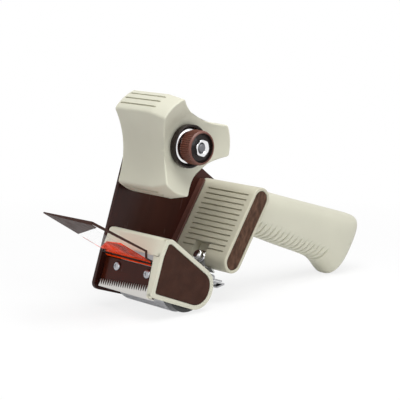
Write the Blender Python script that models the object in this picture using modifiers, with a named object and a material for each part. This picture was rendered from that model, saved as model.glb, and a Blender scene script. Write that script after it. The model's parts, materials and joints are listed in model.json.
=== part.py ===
"""Hand-held packing tape dispenser: side frame, three-lobed hub, wiping roller, blade, flap and grip.

Metres. Pieces are modelled in the tool's own axes: x runs back towards the grip, y across the tool with
the open side at -y and the side frame at +y, z up, from the hub's axis at its open end. The rest_pose
empty then tips the tool forward onto its roller and the heel of its grip, as it stands on a table.
"""
import math

import bmesh
import bpy
from mathutils import Matrix, Vector

# Clearances and finish of the solids
GAP = 0.0003
RUNNING_GAP = 0.0006
OVERRUN = 0.0020
MERGE = 0.000001
ARC_STEP = math.radians(15)
TURN_STEPS = 28

# Side frame: a plate on the +y side
PLATE_THICKNESS = 0.0030
PLATE_FRONT = 0.0120
PLATE_TOP = 0.0138
PLATE_TOP_BREAK = 0.0035
PLATE_BOTTOM = 0.1120
PLATE_FOOT_RADIUS = 0.0050
PLATE_MARGIN = 0.0012
PLATE_WAIST = 0.0430
PLATE_REAR_CORNER = 0.0070
PLATE_CROTCH_RADIUS = 0.0030
PLATE_HEEL_RADIUS = 0.0190
LIP_HEIGHT = 0.0055
LIP_THICKNESS = 0.0016
LIP_CLEARANCE = 0.0005

# Hub that holds the roll's core
HUB_RADIUS = 0.0380
HUB_TIP_RADIUS = 0.0346
HUB_TAPER = 0.0145
HUB_LENGTH = 0.0510
HUB_TO_PLATE = 0.0040
PLATE_INNER = HUB_LENGTH + HUB_TO_PLATE
HUB_SIDE_ARC = 0.0594
HUB_SIDE_DEPTH = 0.0216
HUB_TURN = math.radians(21)
HUB_LOBES = 3
HUB_DISH_SIDE = 0.0070
HUB_FLOOR = 0.0084
HUB_FLOOR_RADIUS = 0.0156
HUB_WALL = 0.0024
HUB_EDGE = 0.0014
HUB_BOSS_RADIUS = 0.0085
HUB_GROOVES = 3
HUB_GROOVE_WIDTH = 0.0013
HUB_GROOVE_DEPTH = 0.0009
HUB_GROOVE_START = 0.0125
HUB_GROOVE_END = 0.0495
HUB_GROOVE_PITCH = math.radians(8.2)
BUSH_RADIUS = 0.0060
BUSH_LENGTH = 0.0100

# Spindle, tension spring and knob, along the hub's axis
SPINDLE_RADIUS = 0.0040
SPINDLE_THREAD_RADIUS = 0.0030
SPINDLE_FLANGE_RADIUS = 0.0100
SPINDLE_FLANGE = 0.0018
BACK_WASHER_RADIUS = 0.0090
CUP_RADIUS = 0.0153
CUP_WALL = 0.0014
CUP_FLOOR = 0.0016
CUP_RIM = 0.0034
DISH_WASHER_RADIUS = 0.0128
DISH_WASHER_THICKNESS = 0.0008
DISH_WASHER_RISE = 0.0012
SPRING_RADIUS = 0.0062
SPRING_WIRE = 0.0005
SPRING_COILS = 2.5
SPRING_POINTS = 10
THRUST_RADIUS = 0.0078
THRUST_THICKNESS = 0.0010
THRUST_PLAY = 0.0007
KNOB_RADIUS = 0.0121
KNOB_FRONT = 0.0082
KNOB_BACK = 0.0020
KNOB_WALL = 0.0020
KNOB_KNURLS = 36
KNOB_KNURL_DEPTH = 0.0005
KNOB_RECESS_RADIUS = 0.0104
KNOB_RECESS = 0.0036
KNOB_WEB = 0.0015
NUT_FLATS = 0.0100
NUT_HEIGHT = 0.0037

# Grip housing: a slab with round edges, leaning back at its top
SLAB_TOP = (0.0730, -0.0218)
SLAB_LENGTH = 0.0501
SLAB_LEAN = math.radians(14.7)
SLAB_RADIUS = 0.00865
SLAB_OPEN_FACE = 0.0035
SLAB_CAVITY_RADIUS = 0.0055
SLAB_CAVITY_LENGTH = 0.0340
SLAB_SOLID_END = 0.0062
SLAB_INLAY_RADIUS = 0.0060
SLAB_INLAY_DEPTH = 0.0016
SLAB_RIBS = 13
SLAB_RIB_START = 0.0013
SLAB_RIB_PITCH = 0.00414
SLAB_RIB_WIDTH = 0.0010
SLAB_RIB_DEPTH = 0.0009
SLAB_RIB_NEAR = 0.0018
SLAB_RIB_FAR = 0.0446
SLOT_NEAR = 0.0179
SLOT_FAR = 0.0328
SLOT_TOP = 0.0424
SLOT_DEPTH = 0.0062

# Grip: two hollow halves behind the housing
GRIP_MIDDLE = 0.0250
GRIP_HALF_THICKNESS = 0.0150
GRIP_TOP = -0.0127
GRIP_HEIGHT = 0.0340
GRIP_LENGTH = 0.1309
GRIP_WALL = 0.0024
GRIP_SECTION_POWER = 2.7
GRIP_SECTION_POINTS = 11
GRIP_STEPS = 2
# along the length, rise of the top, drop of the underside (of the height), thickness
GRIP_SHARES = (
    (0.000, 0.000, 1.010, 0.960),
    (0.184, 0.002, 1.030, 1.000),
    (0.429, 0.026, 1.090, 1.000),
    (0.684, 0.056, 1.145, 1.000),
    (0.760, 0.065, 1.195, 1.000),
    (0.818, 0.071, 1.282, 1.000),
    (0.869, 0.072, 1.385, 0.990),
    (0.906, 0.063, 1.430, 0.950),
    (0.937, 0.035, 1.375, 0.845),
    (0.959, -0.025, 1.220, 0.685),
    (0.974, -0.115, 1.035, 0.500),
    (0.982, -0.230, 0.910, 0.330),
)
GRIP_SCREW_SHARES = ((0.16, 0.50), (0.50, 0.52), (0.84, 0.75))
GRIP_BOSS_RADIUS = 0.0036
GRIP_SCREW_RADIUS = 0.0015
GRIP_SCREW_HEAD = 0.0028
GRIP_SCREW_HEAD_HEIGHT = 0.0018
GRIP_SCREW_SINK = 0.0022
GRIP_SCREW_LENGTH = 0.0210

# Steel bracket that joins grip and housing
BRACKET_THICKNESS = 0.0025
BRACKET_HALF_WIDTH = 0.0145
TANG_THICKNESS = 0.0030
TANG_HEIGHT = 0.0170
TANG_END_SHARE = 0.62
RIVET_RADIUS = 0.0018
RIVET_HEAD_RADIUS = 0.0034
RIVET_HEAD = 0.0014
RIVET_INSET = 0.0040

# Nose cover: side wall at the open side, front beam and column
NOSE_OPEN_FACE = 0.0070
NOSE_WALL = 0.0030
NOSE_TOP_FRONT = (-0.0105, -0.0666)
NOSE_BROW = (-0.0126, -0.0780)
NOSE_BOTTOM_FRONT = (-0.0126, -0.1070)
NOSE_CREST = (-0.0050, -0.0655)
NOSE_END = (0.0258, -0.0928)
NOSE_END_RADIUS = 0.0175
NOSE_SHOULDER_SHARE = 0.52
NOSE_SHOULDER_RADIUS = 0.0140
NOSE_HEEL_RADIUS = 0.0150
NOSE_CREST_RADIUS = 0.0050
NOSE_FRONT_RADIUS = 0.0025
NOSE_BROW_RADIUS = 0.0200
NOSE_FOOT_RADIUS = 0.0020
NOSE_RIM = 0.0034
NOSE_INLAY_DEPTH = 0.0014
FRONT_WALL = 0.0024
WINDOW_TOP = 0.0790
COLUMN_TOP = 0.0075
COLUMN_FOOT = 0.0050
BEAM_BLOCK = 0.0080

# Blade, its carrier and its screws
CARRIER_FRONT = 0.0075
CARRIER_THICKNESS = 0.0025
CARRIER_TOP = 0.0872
CARRIER_BOTTOM = 0.1078
CARRIER_FLANGE = 0.0022
CARRIER_FLANGE_REACH = 0.0092
BLADE_THICKNESS = 0.0008
BLADE_NEAR = 0.0010
BLADE_FAR = 0.0520
BLADE_BACK_TOP = 0.0895
BLADE_BOTTOM = 0.1088
BLADE_FRONT = 0.0098
BLADE_ROOT = 0.1060
BLADE_TOOTH = 0.0044
BLADE_TEETH = 22
BLADE_SCREW_ACROSS = (0.0074, 0.0402)
BLADE_SCREW_HEIGHT = 0.0925
BLADE_SCREW_RADIUS = 0.0016
BLADE_SCREW_HEAD = 0.0034
BLADE_SCREW_HEAD_HEIGHT = 0.0020
BLADE_SCREW_LENGTH = 0.0060

# Roller
ROLLER_AXIS = (0.0230, -0.0950)
ROLLER_RADIUS = 0.0190
ROLLER_SLEEVE_WALL = 0.0030
ROLLER_NEAR = 0.0050
ROLLER_FAR = 0.0540
ROLLER_CORE_WALL = 0.0025
ROLLER_CAP_RADIUS = 0.0180
ROLLER_CAP_FACE = 0.0031
AXLE_RADIUS = 0.0030
ROLLER_BOSS_RADIUS = 0.0067
ROLLER_BUSH_WIDTH = 0.0080

# Tape retainer: a comb behind the roller, on a bracket in the housing's slot
RETAINER_NEAR = 0.0030
RETAINER_FAR = 0.0510
RETAINER_THICKNESS = 0.0012
RETAINER_PIVOT = (0.0500, -0.0848)
RETAINER_PIN_RADIUS = 0.0012
RETAINER_BARREL_RADIUS = 0.0024
RETAINER_TIP = (0.0434, -0.0905)
RETAINER_TAIL = (0.0633, -0.0874)
RETAINER_LEAF = ((0.0505, -0.0856), (0.0603, -0.0857))
RETAINER_HEM = (0.0567, -0.0909)
RETAINER_TAB = (0.0586, -0.0810)
RETAINER_TAB_HALF_WIDTH = 0.0145
RETAINER_FINGERS = 7
RETAINER_FINGER_GAP_SHARE = 0.35
RETAINER_BRACKET_HALF_WIDTH = 0.0070
RETAINER_SCREW_DOWN = 0.0530
RETAINER_HEAD_RADIUS = 0.0039
RETAINER_HEAD_HEIGHT = 0.0048
RETAINER_SHANK_RADIUS = 0.0018
RETAINER_SHANK = 0.0055
RETAINER_WASHER_RADIUS = 0.0048
RETAINER_WASHER_THICKNESS = 0.0008

# Flap in front of the blade
FLAP_PIN = (-0.0086, -0.0847)
FLAP_PIN_RADIUS = 0.0010
FLAP_BARREL_RADIUS = 0.0020
FLAP_RISE = math.radians(13.6)
FLAP_LENGTH = 0.0668
FLAP_NEAR = 0.0018
FLAP_FAR = 0.0530
FLAP_THICKNESS = 0.0007
FLAP_LAYER = 0.0006
FLAP_TIP_FAR_SHARE = 0.54
FLAP_TIP_NEAR_SHARE = 0.114
FLAP_TIP_SLANT = 0.0022
FLAP_ORANGE_FAR_SHARE = 0.03
FLAP_ORANGE_NEAR_SHARE = 0.06
FLAP_ORANGE_PEAK = (0.0240, 0.0270)
FLAP_RAIL_WIDTH = 0.0016
FLAP_RAIL_START = 0.0075
FLAP_RAIL_HEIGHT = 0.0028
FLAP_CORNER = 0.0020

# Countersunk screws through the side frame
SCREW_RADIUS = 0.0016
SCREW_HEAD_RADIUS = 0.0031
SCREW_HEAD = 0.0016
SCREW_LENGTH = 0.0080


def clear_scene():
    """Removes what a new file holds."""
    for old in list(bpy.data.objects):
        bpy.data.objects.remove(old, do_unlink=True)


clear_scene()
PARTS = bpy.data.collections.new("packing_tape_dispenser")
CUTTERS = bpy.data.collections.new("cutters")
bpy.context.scene.collection.children.link(PARTS)
bpy.context.scene.collection.children.link(CUTTERS)


def add_object(name, mesh, collection=PARTS):
    """Links a mesh as an object; cutters stay out of renders."""
    obj = bpy.data.objects.new(name, mesh)
    collection.objects.link(obj)
    if collection == CUTTERS:
        obj.hide_render = True
        obj.display_type = "WIRE"
    return obj


def add_bmesh(name, bm, collection=PARTS):
    """Turns a bmesh into an object with its faces pointing out."""
    bmesh.ops.remove_doubles(bm, verts=bm.verts, dist=MERGE)
    bmesh.ops.recalc_face_normals(bm, faces=bm.faces)
    mesh = bpy.data.meshes.new(name)
    bm.to_mesh(mesh)
    bm.free()
    return add_object(name, mesh, collection)


def evaluated(obj, matrix):
    """A bmesh of the object with its modifiers or curve settings applied, moved by the matrix."""
    bpy.context.scene.collection.objects.link(obj)
    depsgraph = bpy.context.evaluated_depsgraph_get()
    mesh = bpy.data.meshes.new_from_object(obj.evaluated_get(depsgraph))
    bm = bmesh.new()
    bm.from_mesh(mesh)
    bm.transform(matrix)
    data = obj.data
    bpy.data.objects.remove(obj)
    bpy.data.meshes.remove(mesh)
    if isinstance(data, bpy.types.Mesh):
        bpy.data.meshes.remove(data)
    else:
        bpy.data.curves.remove(data)
    return bm


def flat_bmesh(loops, thickness, matrix):
    """A flat outline with its holes, half its thickness to each side of the matrix's plane."""
    curve = bpy.data.curves.new("outline", "CURVE")
    curve.dimensions = "2D"
    curve.fill_mode = "BOTH"
    curve.extrude = thickness / 2
    for loop in loops:
        spline = curve.splines.new("POLY")
        spline.points.add(len(loop) - 1)
        for point, (across, along) in zip(spline.points, loop):
            point.co = (across, along, 0, 1)
        spline.use_cyclic_u = True
    return evaluated(bpy.data.objects.new("outline", curve), matrix)


def prism(name, loops, near, far, collection=PARTS):
    """An (x, z) outline with its holes, from y = near to y = far."""
    matrix = Matrix.Translation((0, (near + far) / 2, 0)) @ Matrix.Rotation(math.pi / 2, 4, "X")
    return add_bmesh(name, flat_bmesh(loops, abs(far - near), matrix), collection)


def panel(name, loops, origin, down, thickness, collection=PARTS):
    """A (y, distance down) outline in the plane through origin and y, its thickness behind it."""
    down = Vector(down).normalized()
    across = Vector((0, 1, 0))
    normal = across.cross(down)
    frame = Matrix((across, down, normal)).transposed().to_4x4()
    frame.translation = Vector(origin) + normal * thickness / 2
    return add_bmesh(name, flat_bmesh(loops, thickness, frame), collection)


def turned(name, profile, centres=((0, 0),), collection=PARTS, steps=TURN_STEPS):
    """Turns (radius, y) corners about axes along y through the (x, z) centres."""
    bm = bmesh.new()
    corners = [bm.verts.new((radius, 0, along)) for radius, along in profile]
    for start, end in zip(corners, corners[1:]):
        bm.edges.new((start, end))
    if min(radius for radius, along in profile) > 0:
        bm.edges.new((corners[-1], corners[0]))
    mesh = bpy.data.meshes.new("profile")
    bm.to_mesh(mesh)
    bm.free()
    spun = bpy.data.objects.new("profile", mesh)
    screw = spun.modifiers.new("turn", "SCREW")
    screw.steps = screw.render_steps = steps
    screw.use_merge_vertices = True
    screw.merge_threshold = MERGE
    one = evaluated(spun, Matrix.Rotation(-math.pi / 2, 4, "X"))
    shape = bpy.data.meshes.new("turned")
    one.to_mesh(shape)
    one.free()
    whole = bmesh.new()
    for x, z in centres:
        shape.transform(Matrix.Translation((x, 0, z)))
        whole.from_mesh(shape)
        shape.transform(Matrix.Translation((-x, 0, -z)))
    bpy.data.meshes.remove(shape)
    return add_bmesh(name, whole, collection)


def rod_profile(radius, near, far, edge=0):
    """Half section of a rod along y, with chamfered ends."""
    if edge == 0:
        return [(0, near), (radius, near), (radius, far), (0, far)]
    return [(0, near), (radius - edge, near), (radius, near + edge),
            (radius, far - edge), (radius - edge, far), (0, far)]


def ring_profile(inner, outer, near, far):
    """Section of a plain ring along y."""
    return [(inner, near), (outer, near), (outer, far), (inner, far)]


def slanted_profile(name, profile, base, direction, collection=PARTS, centres_across=(0,)):
    """Turns (radius, distance) corners about lines along direction from base, once for each y added."""
    bm = bmesh.new()
    turn = Vector(direction).to_track_quat("Z", "Y").to_matrix().to_4x4()
    for across in centres_across:
        matrix = Matrix.Translation(Vector(base) + Vector((0, across, 0))) @ turn
        rings = []
        for radius, along in profile:
            if radius == 0:
                rings.append([bm.verts.new(matrix @ Vector((0, 0, along)))])
                continue
            circle = bmesh.ops.create_circle(bm, segments=TURN_STEPS // 2, radius=radius,
                                             matrix=matrix @ Matrix.Translation((0, 0, along)))
            rings.append(circle["verts"])
        for lower, upper in zip(rings, rings[1:]):
            count = max(len(lower), len(upper))
            for k in range(count):
                quad = [lower[k % len(lower)], lower[(k + 1) % len(lower)],
                        upper[(k + 1) % len(upper)], upper[k % len(upper)]]
                bm.faces.new(list(dict.fromkeys(quad)))
    return add_bmesh(name, bm, collection)


def boxes(name, centres, size, turn=0, collection=PARTS):
    """Boxes of one size (x, y, z), turned about y, at the centres."""
    bm = bmesh.new()
    for centre in centres:
        matrix = Matrix.Translation(centre) @ Matrix.Rotation(turn, 4, "Y") @ Matrix.Diagonal((*size, 1))
        bmesh.ops.create_cube(bm, size=1, matrix=matrix)
    return add_bmesh(name, bm, collection)


def box(name, low, high, collection=PARTS):
    """A box between two corners."""
    low, high = Vector(low), Vector(high)
    return boxes(name, [(low + high) / 2], high - low, collection=collection)


def boolean(target, other, operation):
    """Adds one Boolean step."""
    step = target.modifiers.new(operation.lower(), "BOOLEAN")
    step.operation = operation
    step.object = other
    return target


def cut(target, *cutters):
    """Cuts the cutters out of the target."""
    for cutter in cutters:
        boolean(target, cutter, "DIFFERENCE")
    return target


def join(target, *others):
    """Makes the others part of the target; they are shapes of the cutters collection."""
    for other in others:
        boolean(target, other, "UNION")
    return target


def round_edges(obj, width, segments=2, angle=math.radians(35)):
    """Rounds the edges that turn by more than the angle."""
    bevel = obj.modifiers.new("rounded edges", "BEVEL")
    bevel.width = width
    bevel.segments = segments
    bevel.limit_method = "ANGLE"
    bevel.angle_limit = angle
    bevel.use_clamp_overlap = True
    return obj


def rounded(corners):
    """An outline through corners (x, z, radius), each turned with an arc."""
    outline = []
    for k, (x, z, radius) in enumerate(corners):
        here = Vector((x, z))
        back = (Vector(corners[k - 1][:2]) - here).normalized()
        ahead = (Vector(corners[(k + 1) % len(corners)][:2]) - here).normalized()
        if radius == 0:
            outline.append((x, z))
            continue
        half = back.angle(ahead) / 2
        centre = here + (back + ahead).normalized() * (radius / math.sin(half))
        start = here + back * (radius / math.tan(half)) - centre
        sweep = math.pi - 2 * half
        side = math.copysign(1, back.x * ahead.y - back.y * ahead.x)
        steps = max(2, math.ceil(sweep / ARC_STEP))
        for step in range(steps + 1):
            angle = -side * sweep * step / steps
            turned_start = Matrix.Rotation(angle, 2) @ start
            outline.append(tuple(centre + turned_start))
    return outline


def arc(centre, radius, start, end):
    """Points along an arc of a circle in (x, z), from one angle to another."""
    steps = max(2, math.ceil(abs(end - start) / ARC_STEP))
    angles = [start + (end - start) * step / steps for step in range(steps + 1)]
    return [(centre[0] + radius * math.cos(a), centre[1] + radius * math.sin(a)) for a in angles]


def strip_outline(points, thickness):
    """A polyline given a thickness, as a closed outline."""
    path = [Vector(point) for point in points]
    one, other = [], []
    for k, point in enumerate(path):
        before = (point - path[k - 1]).normalized() if k else (path[1] - point).normalized()
        after = (path[k + 1] - point).normalized() if k < len(path) - 1 else before
        normal = Vector((-(before + after).y, (before + after).x)).normalized()
        reach = thickness / 2 / max(normal.dot(Vector((-after.y, after.x))), 0.3)
        one.append(tuple(point + normal * reach))
        other.append(tuple(point - normal * reach))
    return one + other[::-1]


def paint(obj, colour, roughness, metallic=0, transmission=0):
    """Gives the object a material of its own."""
    material = bpy.data.materials.new(obj.name)
    material.use_nodes = True
    shader = material.node_tree.nodes["Principled BSDF"]
    shader.inputs["Base Color"].default_value = (*colour, 1)
    shader.inputs["Roughness"].default_value = roughness
    shader.inputs["Metallic"].default_value = metallic
    shader.inputs["Transmission Weight"].default_value = transmission
    obj.data.materials.clear()
    obj.data.materials.append(material)
    return obj


BEIGE = (0.66, 0.63, 0.50)
BROWN = (0.065, 0.030, 0.022)
INLAY_BROWN = (0.075, 0.040, 0.028)
DARK_BROWN = (0.045, 0.022, 0.016)
RUBBER_GREY = (0.27, 0.27, 0.28)
STEEL = (0.62, 0.62, 0.60)
CHROME = (0.80, 0.80, 0.82)
NYLON = (0.80, 0.78, 0.72)
ORANGE = (0.90, 0.12, 0.02)
CLEAR = (0.90, 0.92, 0.92)
BLACK = (0.03, 0.03, 0.03)

SLAB_DOWN = Vector((-math.sin(SLAB_LEAN), -math.cos(SLAB_LEAN)))
SLAB_BACK = Vector((math.cos(SLAB_LEAN), -math.sin(SLAB_LEAN)))


def slab_point(down, back):
    """(x, z) at a distance down the housing's middle line and behind it."""
    return Vector(SLAB_TOP) + SLAB_DOWN * down + SLAB_BACK * back


def slab_middle(z):
    """x of the housing's middle line at a height."""
    return SLAB_TOP[0] + math.tan(SLAB_LEAN) * (z - SLAB_TOP[1])


def slab_stadium(radius, length=SLAB_LENGTH):
    """Outline with round ends about the housing's middle line."""
    facing = math.atan2(SLAB_BACK.y, SLAB_BACK.x)
    return arc(slab_point(0, 0), radius, facing, facing + math.pi) \
        + arc(slab_point(length, 0), radius, facing + math.pi, facing + 2 * math.pi)


def star_outline(reach, inset=0):
    """Three lobes that reach a circle, joined by concave sides; inset moves the sides in."""
    side_arc = HUB_SIDE_ARC + inset
    side_centre = HUB_SIDE_DEPTH + HUB_SIDE_ARC
    to_corner = math.acos((reach ** 2 + side_centre ** 2 - side_arc ** 2) / (2 * reach * side_centre))
    half_side = math.asin(reach * math.sin(to_corner) / side_arc)
    half_lobe = math.pi / HUB_LOBES - to_corner
    outline = []
    for lobe in range(HUB_LOBES):
        middle = HUB_TURN + lobe * 2 * math.pi / HUB_LOBES
        side = middle + math.pi / HUB_LOBES
        centre = (side_centre * math.cos(side), side_centre * math.sin(side))
        outline += arc((0, 0), reach, middle - half_lobe, middle)
        outline += arc((0, 0), reach, middle, middle + half_lobe)[1:]
        outline += arc(centre, side_arc, side + math.pi + half_side, side + math.pi - half_side)[1:-1]
    return outline


def countersunk(extra, length):
    """Profile of a countersunk screw, flush with the plate's outer face; extra makes its hole."""
    face = PLATE_INNER + PLATE_THICKNESS - GAP
    mouth = [(0, face + OVERRUN), (SCREW_HEAD_RADIUS + extra, face + OVERRUN)] if extra else [(0, face)]
    return mouth + [
        (SCREW_HEAD_RADIUS + extra, face),
        (SCREW_RADIUS + extra, face - SCREW_HEAD),
        (SCREW_RADIUS + extra, face - length - extra),
        (0, face - length - extra),
    ]


def frame_screw_places():
    """(x, z) of the screws: housing ends, beam block and carrier flange."""
    flange_x = -CARRIER_FRONT + CARRIER_FLANGE_REACH / 2 + CARRIER_THICKNESS / 2
    block = beam_block_middle()
    return [
        tuple(slab_point(0, 0)),
        tuple(slab_point(SLAB_LENGTH - SLAB_RADIUS / 2, SLAB_RADIUS / 4)),
        block,
        (flange_x, -CARRIER_TOP - SCREW_HEAD_RADIUS * 2),
        (flange_x, -CARRIER_BOTTOM + SCREW_HEAD_RADIUS * 2),
    ]


def beam_block_middle():
    """(x, z) of the middle of the beam's solid end."""
    middle = (Vector(NOSE_TOP_FRONT) + Vector(NOSE_BROW)) / 2
    return (middle.x + FRONT_WALL + BEAM_BLOCK / 2, middle.y)


def make_side_frame(holes):
    """Plate that carries everything, with a lip in front of the housing."""
    rear = SLAB_RADIUS + PLATE_MARGIN
    top_rear = slab_point(-rear, rear)
    bottom_rear = slab_point(SLAB_LENGTH + rear, rear)
    bottom_front = slab_point(SLAB_LENGTH + rear, -rear)
    plate = prism("side_frame", [rounded([
        (-PLATE_FRONT, PLATE_TOP, PLATE_FRONT),
        (PLATE_TOP_BREAK, PLATE_TOP, PLATE_TOP),
        (top_rear.x, top_rear.y, PLATE_REAR_CORNER),
        (bottom_rear.x, bottom_rear.y, rear - GAP),
        (bottom_front.x, bottom_front.y, PLATE_CROTCH_RADIUS),
        (PLATE_WAIST, bottom_front.y, PLATE_CROTCH_RADIUS),
        (PLATE_WAIST, -PLATE_BOTTOM, PLATE_HEEL_RADIUS),
        (-PLATE_FRONT, -PLATE_BOTTOM, PLATE_FOOT_RADIUS),
    ])], PLATE_INNER, PLATE_INNER + PLATE_THICKNESS)
    face = -SLAB_RADIUS - LIP_CLEARANCE
    lip = prism("lip_shape", [[
        tuple(slab_point(-SLAB_RADIUS / 2, face)),
        tuple(slab_point(-SLAB_RADIUS / 2, face - LIP_THICKNESS)),
        tuple(slab_point(SLAB_LENGTH, face - LIP_THICKNESS)),
        tuple(slab_point(SLAB_LENGTH, face)),
    ]], PLATE_INNER - LIP_HEIGHT, PLATE_INNER + PLATE_THICKNESS / 2, CUTTERS)
    join(plate, lip)
    spindle_hole = turned("spindle_hole", rod_profile(SPINDLE_RADIUS + GAP, PLATE_INNER - OVERRUN,
                          PLATE_INNER + PLATE_THICKNESS + OVERRUN), collection=CUTTERS)
    axle_hole = turned("axle_hole", rod_profile(AXLE_RADIUS + GAP, PLATE_INNER - OVERRUN,
                       PLATE_INNER + PLATE_THICKNESS + OVERRUN), [ROLLER_AXIS], CUTTERS)
    pin_hole = turned("pin_hole", rod_profile(FLAP_PIN_RADIUS + GAP, PLATE_INNER - OVERRUN,
                      PLATE_INNER + PLATE_THICKNESS + OVERRUN), [FLAP_PIN], CUTTERS)
    cut(plate, spindle_hole, axle_hole, pin_hole, holes)
    return paint(plate, BROWN, 0.25)


def make_frame_screws():
    """Countersunk screws, flush with the frame's outer face."""
    places = frame_screw_places()
    screw = turned("frame_screw_1", countersunk(0, SCREW_LENGTH), places[:1], steps=16)
    return copies(paint(screw, STEEL, 0.3, 1), shifts_between(places))


def make_housing(holes):
    """Beige slab across the tool, ribbed in front, with a slot for the retainer."""
    near, far = -SLAB_OPEN_FACE, PLATE_INNER - GAP
    slab = prism("grip_housing", [slab_stadium(SLAB_RADIUS)], near, far)
    round_edges(slab, 0.4 * GAP + GAP, 1)
    recess = prism("housing_recess", [slab_stadium(SLAB_INLAY_RADIUS + GAP)], near - OVERRUN,
                   near + SLAB_INLAY_DEPTH + GAP, CUTTERS)
    cavity = prism("housing_cavity", [slab_stadium(SLAB_CAVITY_RADIUS, SLAB_CAVITY_LENGTH)],
                   near - OVERRUN, far - SLAB_SOLID_END, CUTTERS)
    ribs = boxes("housing_grooves", [
        (point.x, (SLAB_RIB_NEAR + SLAB_RIB_FAR) / 2, point.y)
        for point in (slab_point(SLAB_RIB_START + rib * SLAB_RIB_PITCH, -SLAB_RADIUS) for rib in range(SLAB_RIBS))
    ], (2 * SLAB_RIB_DEPTH, SLAB_RIB_FAR - SLAB_RIB_NEAR, SLAB_RIB_WIDTH), SLAB_LEAN, CUTTERS)
    slot_length = SLAB_LENGTH + SLAB_RADIUS + OVERRUN - SLOT_TOP
    slot_middle = slab_point(SLOT_TOP + slot_length / 2, -SLAB_RADIUS)
    slot = boxes("housing_slot", [(slot_middle.x, (SLOT_NEAR + SLOT_FAR) / 2, slot_middle.y)],
                 (2 * SLOT_DEPTH, SLOT_FAR - SLOT_NEAR, slot_length), SLAB_LEAN, CUTTERS)
    low, high, behind = tang_low() - GAP, tang_low() + TANG_HEIGHT + GAP, SLAB_TOP[0] + 2 * SLAB_RADIUS
    tang_slot = prism("tang_slot", [[
        (slab_middle(low), low), (slab_middle(high), high), (behind, high), (behind, low),
    ]], GRIP_MIDDLE - TANG_THICKNESS / 2 - GAP, GRIP_MIDDLE + TANG_THICKNESS / 2 + GAP, CUTTERS)
    screw_hole = slanted_profile("retainer_screw_hole", rod_profile(
        RETAINER_SHANK_RADIUS + GAP, -OVERRUN, RETAINER_SHANK + GAP), *retainer_screw_line(), CUTTERS)
    rivet_holes = slanted_profile("rivet_holes", rod_profile(RIVET_RADIUS + GAP, -SLAB_RADIUS, OVERRUN),
                                  *rivet_line(), CUTTERS, rivet_across())
    cut(slab, recess, cavity, ribs, slot, tang_slot, screw_hole, rivet_holes, holes)
    return paint(slab, BEIGE, 0.45)


def make_housing_inlay():
    """Textured brown end panel of the housing."""
    near = -SLAB_OPEN_FACE + GAP
    return paint(prism("housing_side_inlay", [slab_stadium(SLAB_INLAY_RADIUS)], near,
                       near + SLAB_INLAY_DEPTH - GAP), INLAY_BROWN, 0.6)


def tang_low():
    """Lowest z of the bracket's tang."""
    return GRIP_TOP - GRIP_HEIGHT / 2 - TANG_HEIGHT / 2


def grip_start():
    """x at the grip's top front corner: just behind the housing's rear face."""
    rear = slab_point(0, SLAB_RADIUS + GAP)
    return rear.x + math.tan(SLAB_LEAN) * (GRIP_TOP - rear.y)


def spread(shares, steps):
    """Smooth rows between the given rows of shares, steps to each interval."""
    rows = []
    last = len(shares) - 1
    for k in range(last):
        p0, p1 = shares[max(k - 1, 0)], shares[k]
        p2, p3 = shares[k + 1], shares[min(k + 2, last)]
        span = p2[0] - p1[0]
        for step in range(steps):
            t = step / steps
            row = [p1[0] + span * t]
            for a, b, c, d in list(zip(p0, p1, p2, p3))[1:]:
                slope_1 = (c - a) / max(p2[0] - p0[0], MERGE) * span
                slope_2 = (d - b) / max(p3[0] - p1[0], MERGE) * span
                row.append((2 * t ** 3 - 3 * t ** 2 + 1) * b + (t ** 3 - 2 * t ** 2 + t) * slope_1
                           + (3 * t ** 2 - 2 * t ** 3) * c + (t ** 3 - t ** 2) * slope_2)
            rows.append(row)
    rows.append(list(shares[last]))
    return rows


def grip_rings(inset, angles, least_across):
    """Section rings along the grip; inset shrinks them for the hollow."""
    rings = []
    for along, rise, drop, thick in spread(GRIP_SHARES, GRIP_STEPS):
        top = GRIP_TOP + rise * GRIP_HEIGHT - inset
        low = GRIP_TOP - drop * GRIP_HEIGHT + inset
        half = GRIP_HALF_THICKNESS * thick - inset
        ring = []
        for angle in angles:
            wide = math.copysign(abs(math.cos(angle)) ** (2 / GRIP_SECTION_POWER), math.cos(angle))
            tall = math.copysign(abs(math.sin(angle)) ** (2 / GRIP_SECTION_POWER), math.sin(angle))
            across = max(half * wide, least_across) if least_across is not None else half * wide
            z = (top + low) / 2 + (top - low) / 2 * tall
            s = grip_start() + along * GRIP_LENGTH
            ring.append(Vector((s + math.tan(SLAB_LEAN) * (z - GRIP_TOP), across, z)))
        rings.append(ring)
    return rings


def loft(name, rings, collection=PARTS):
    """A closed body through rings of equal count."""
    bm = bmesh.new()
    loops = [[bm.verts.new(point) for point in ring] for ring in rings]
    for one, other in zip(loops, loops[1:]):
        for k in range(len(one)):
            following = (k + 1) % len(one)
            bm.faces.new((one[k], one[following], other[following], other[k]))
    bm.faces.new(loops[0])
    bm.faces.new(loops[-1])
    return add_bmesh(name, bm, collection)


def grip_screw_places():
    """(x, z) of the grip's screws."""
    places = []
    for along, drop in GRIP_SCREW_SHARES:
        z = GRIP_TOP - drop * GRIP_HEIGHT
        places.append((grip_start() + along * GRIP_LENGTH + math.tan(SLAB_LEAN) * (z - GRIP_TOP), z))
    return places


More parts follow.
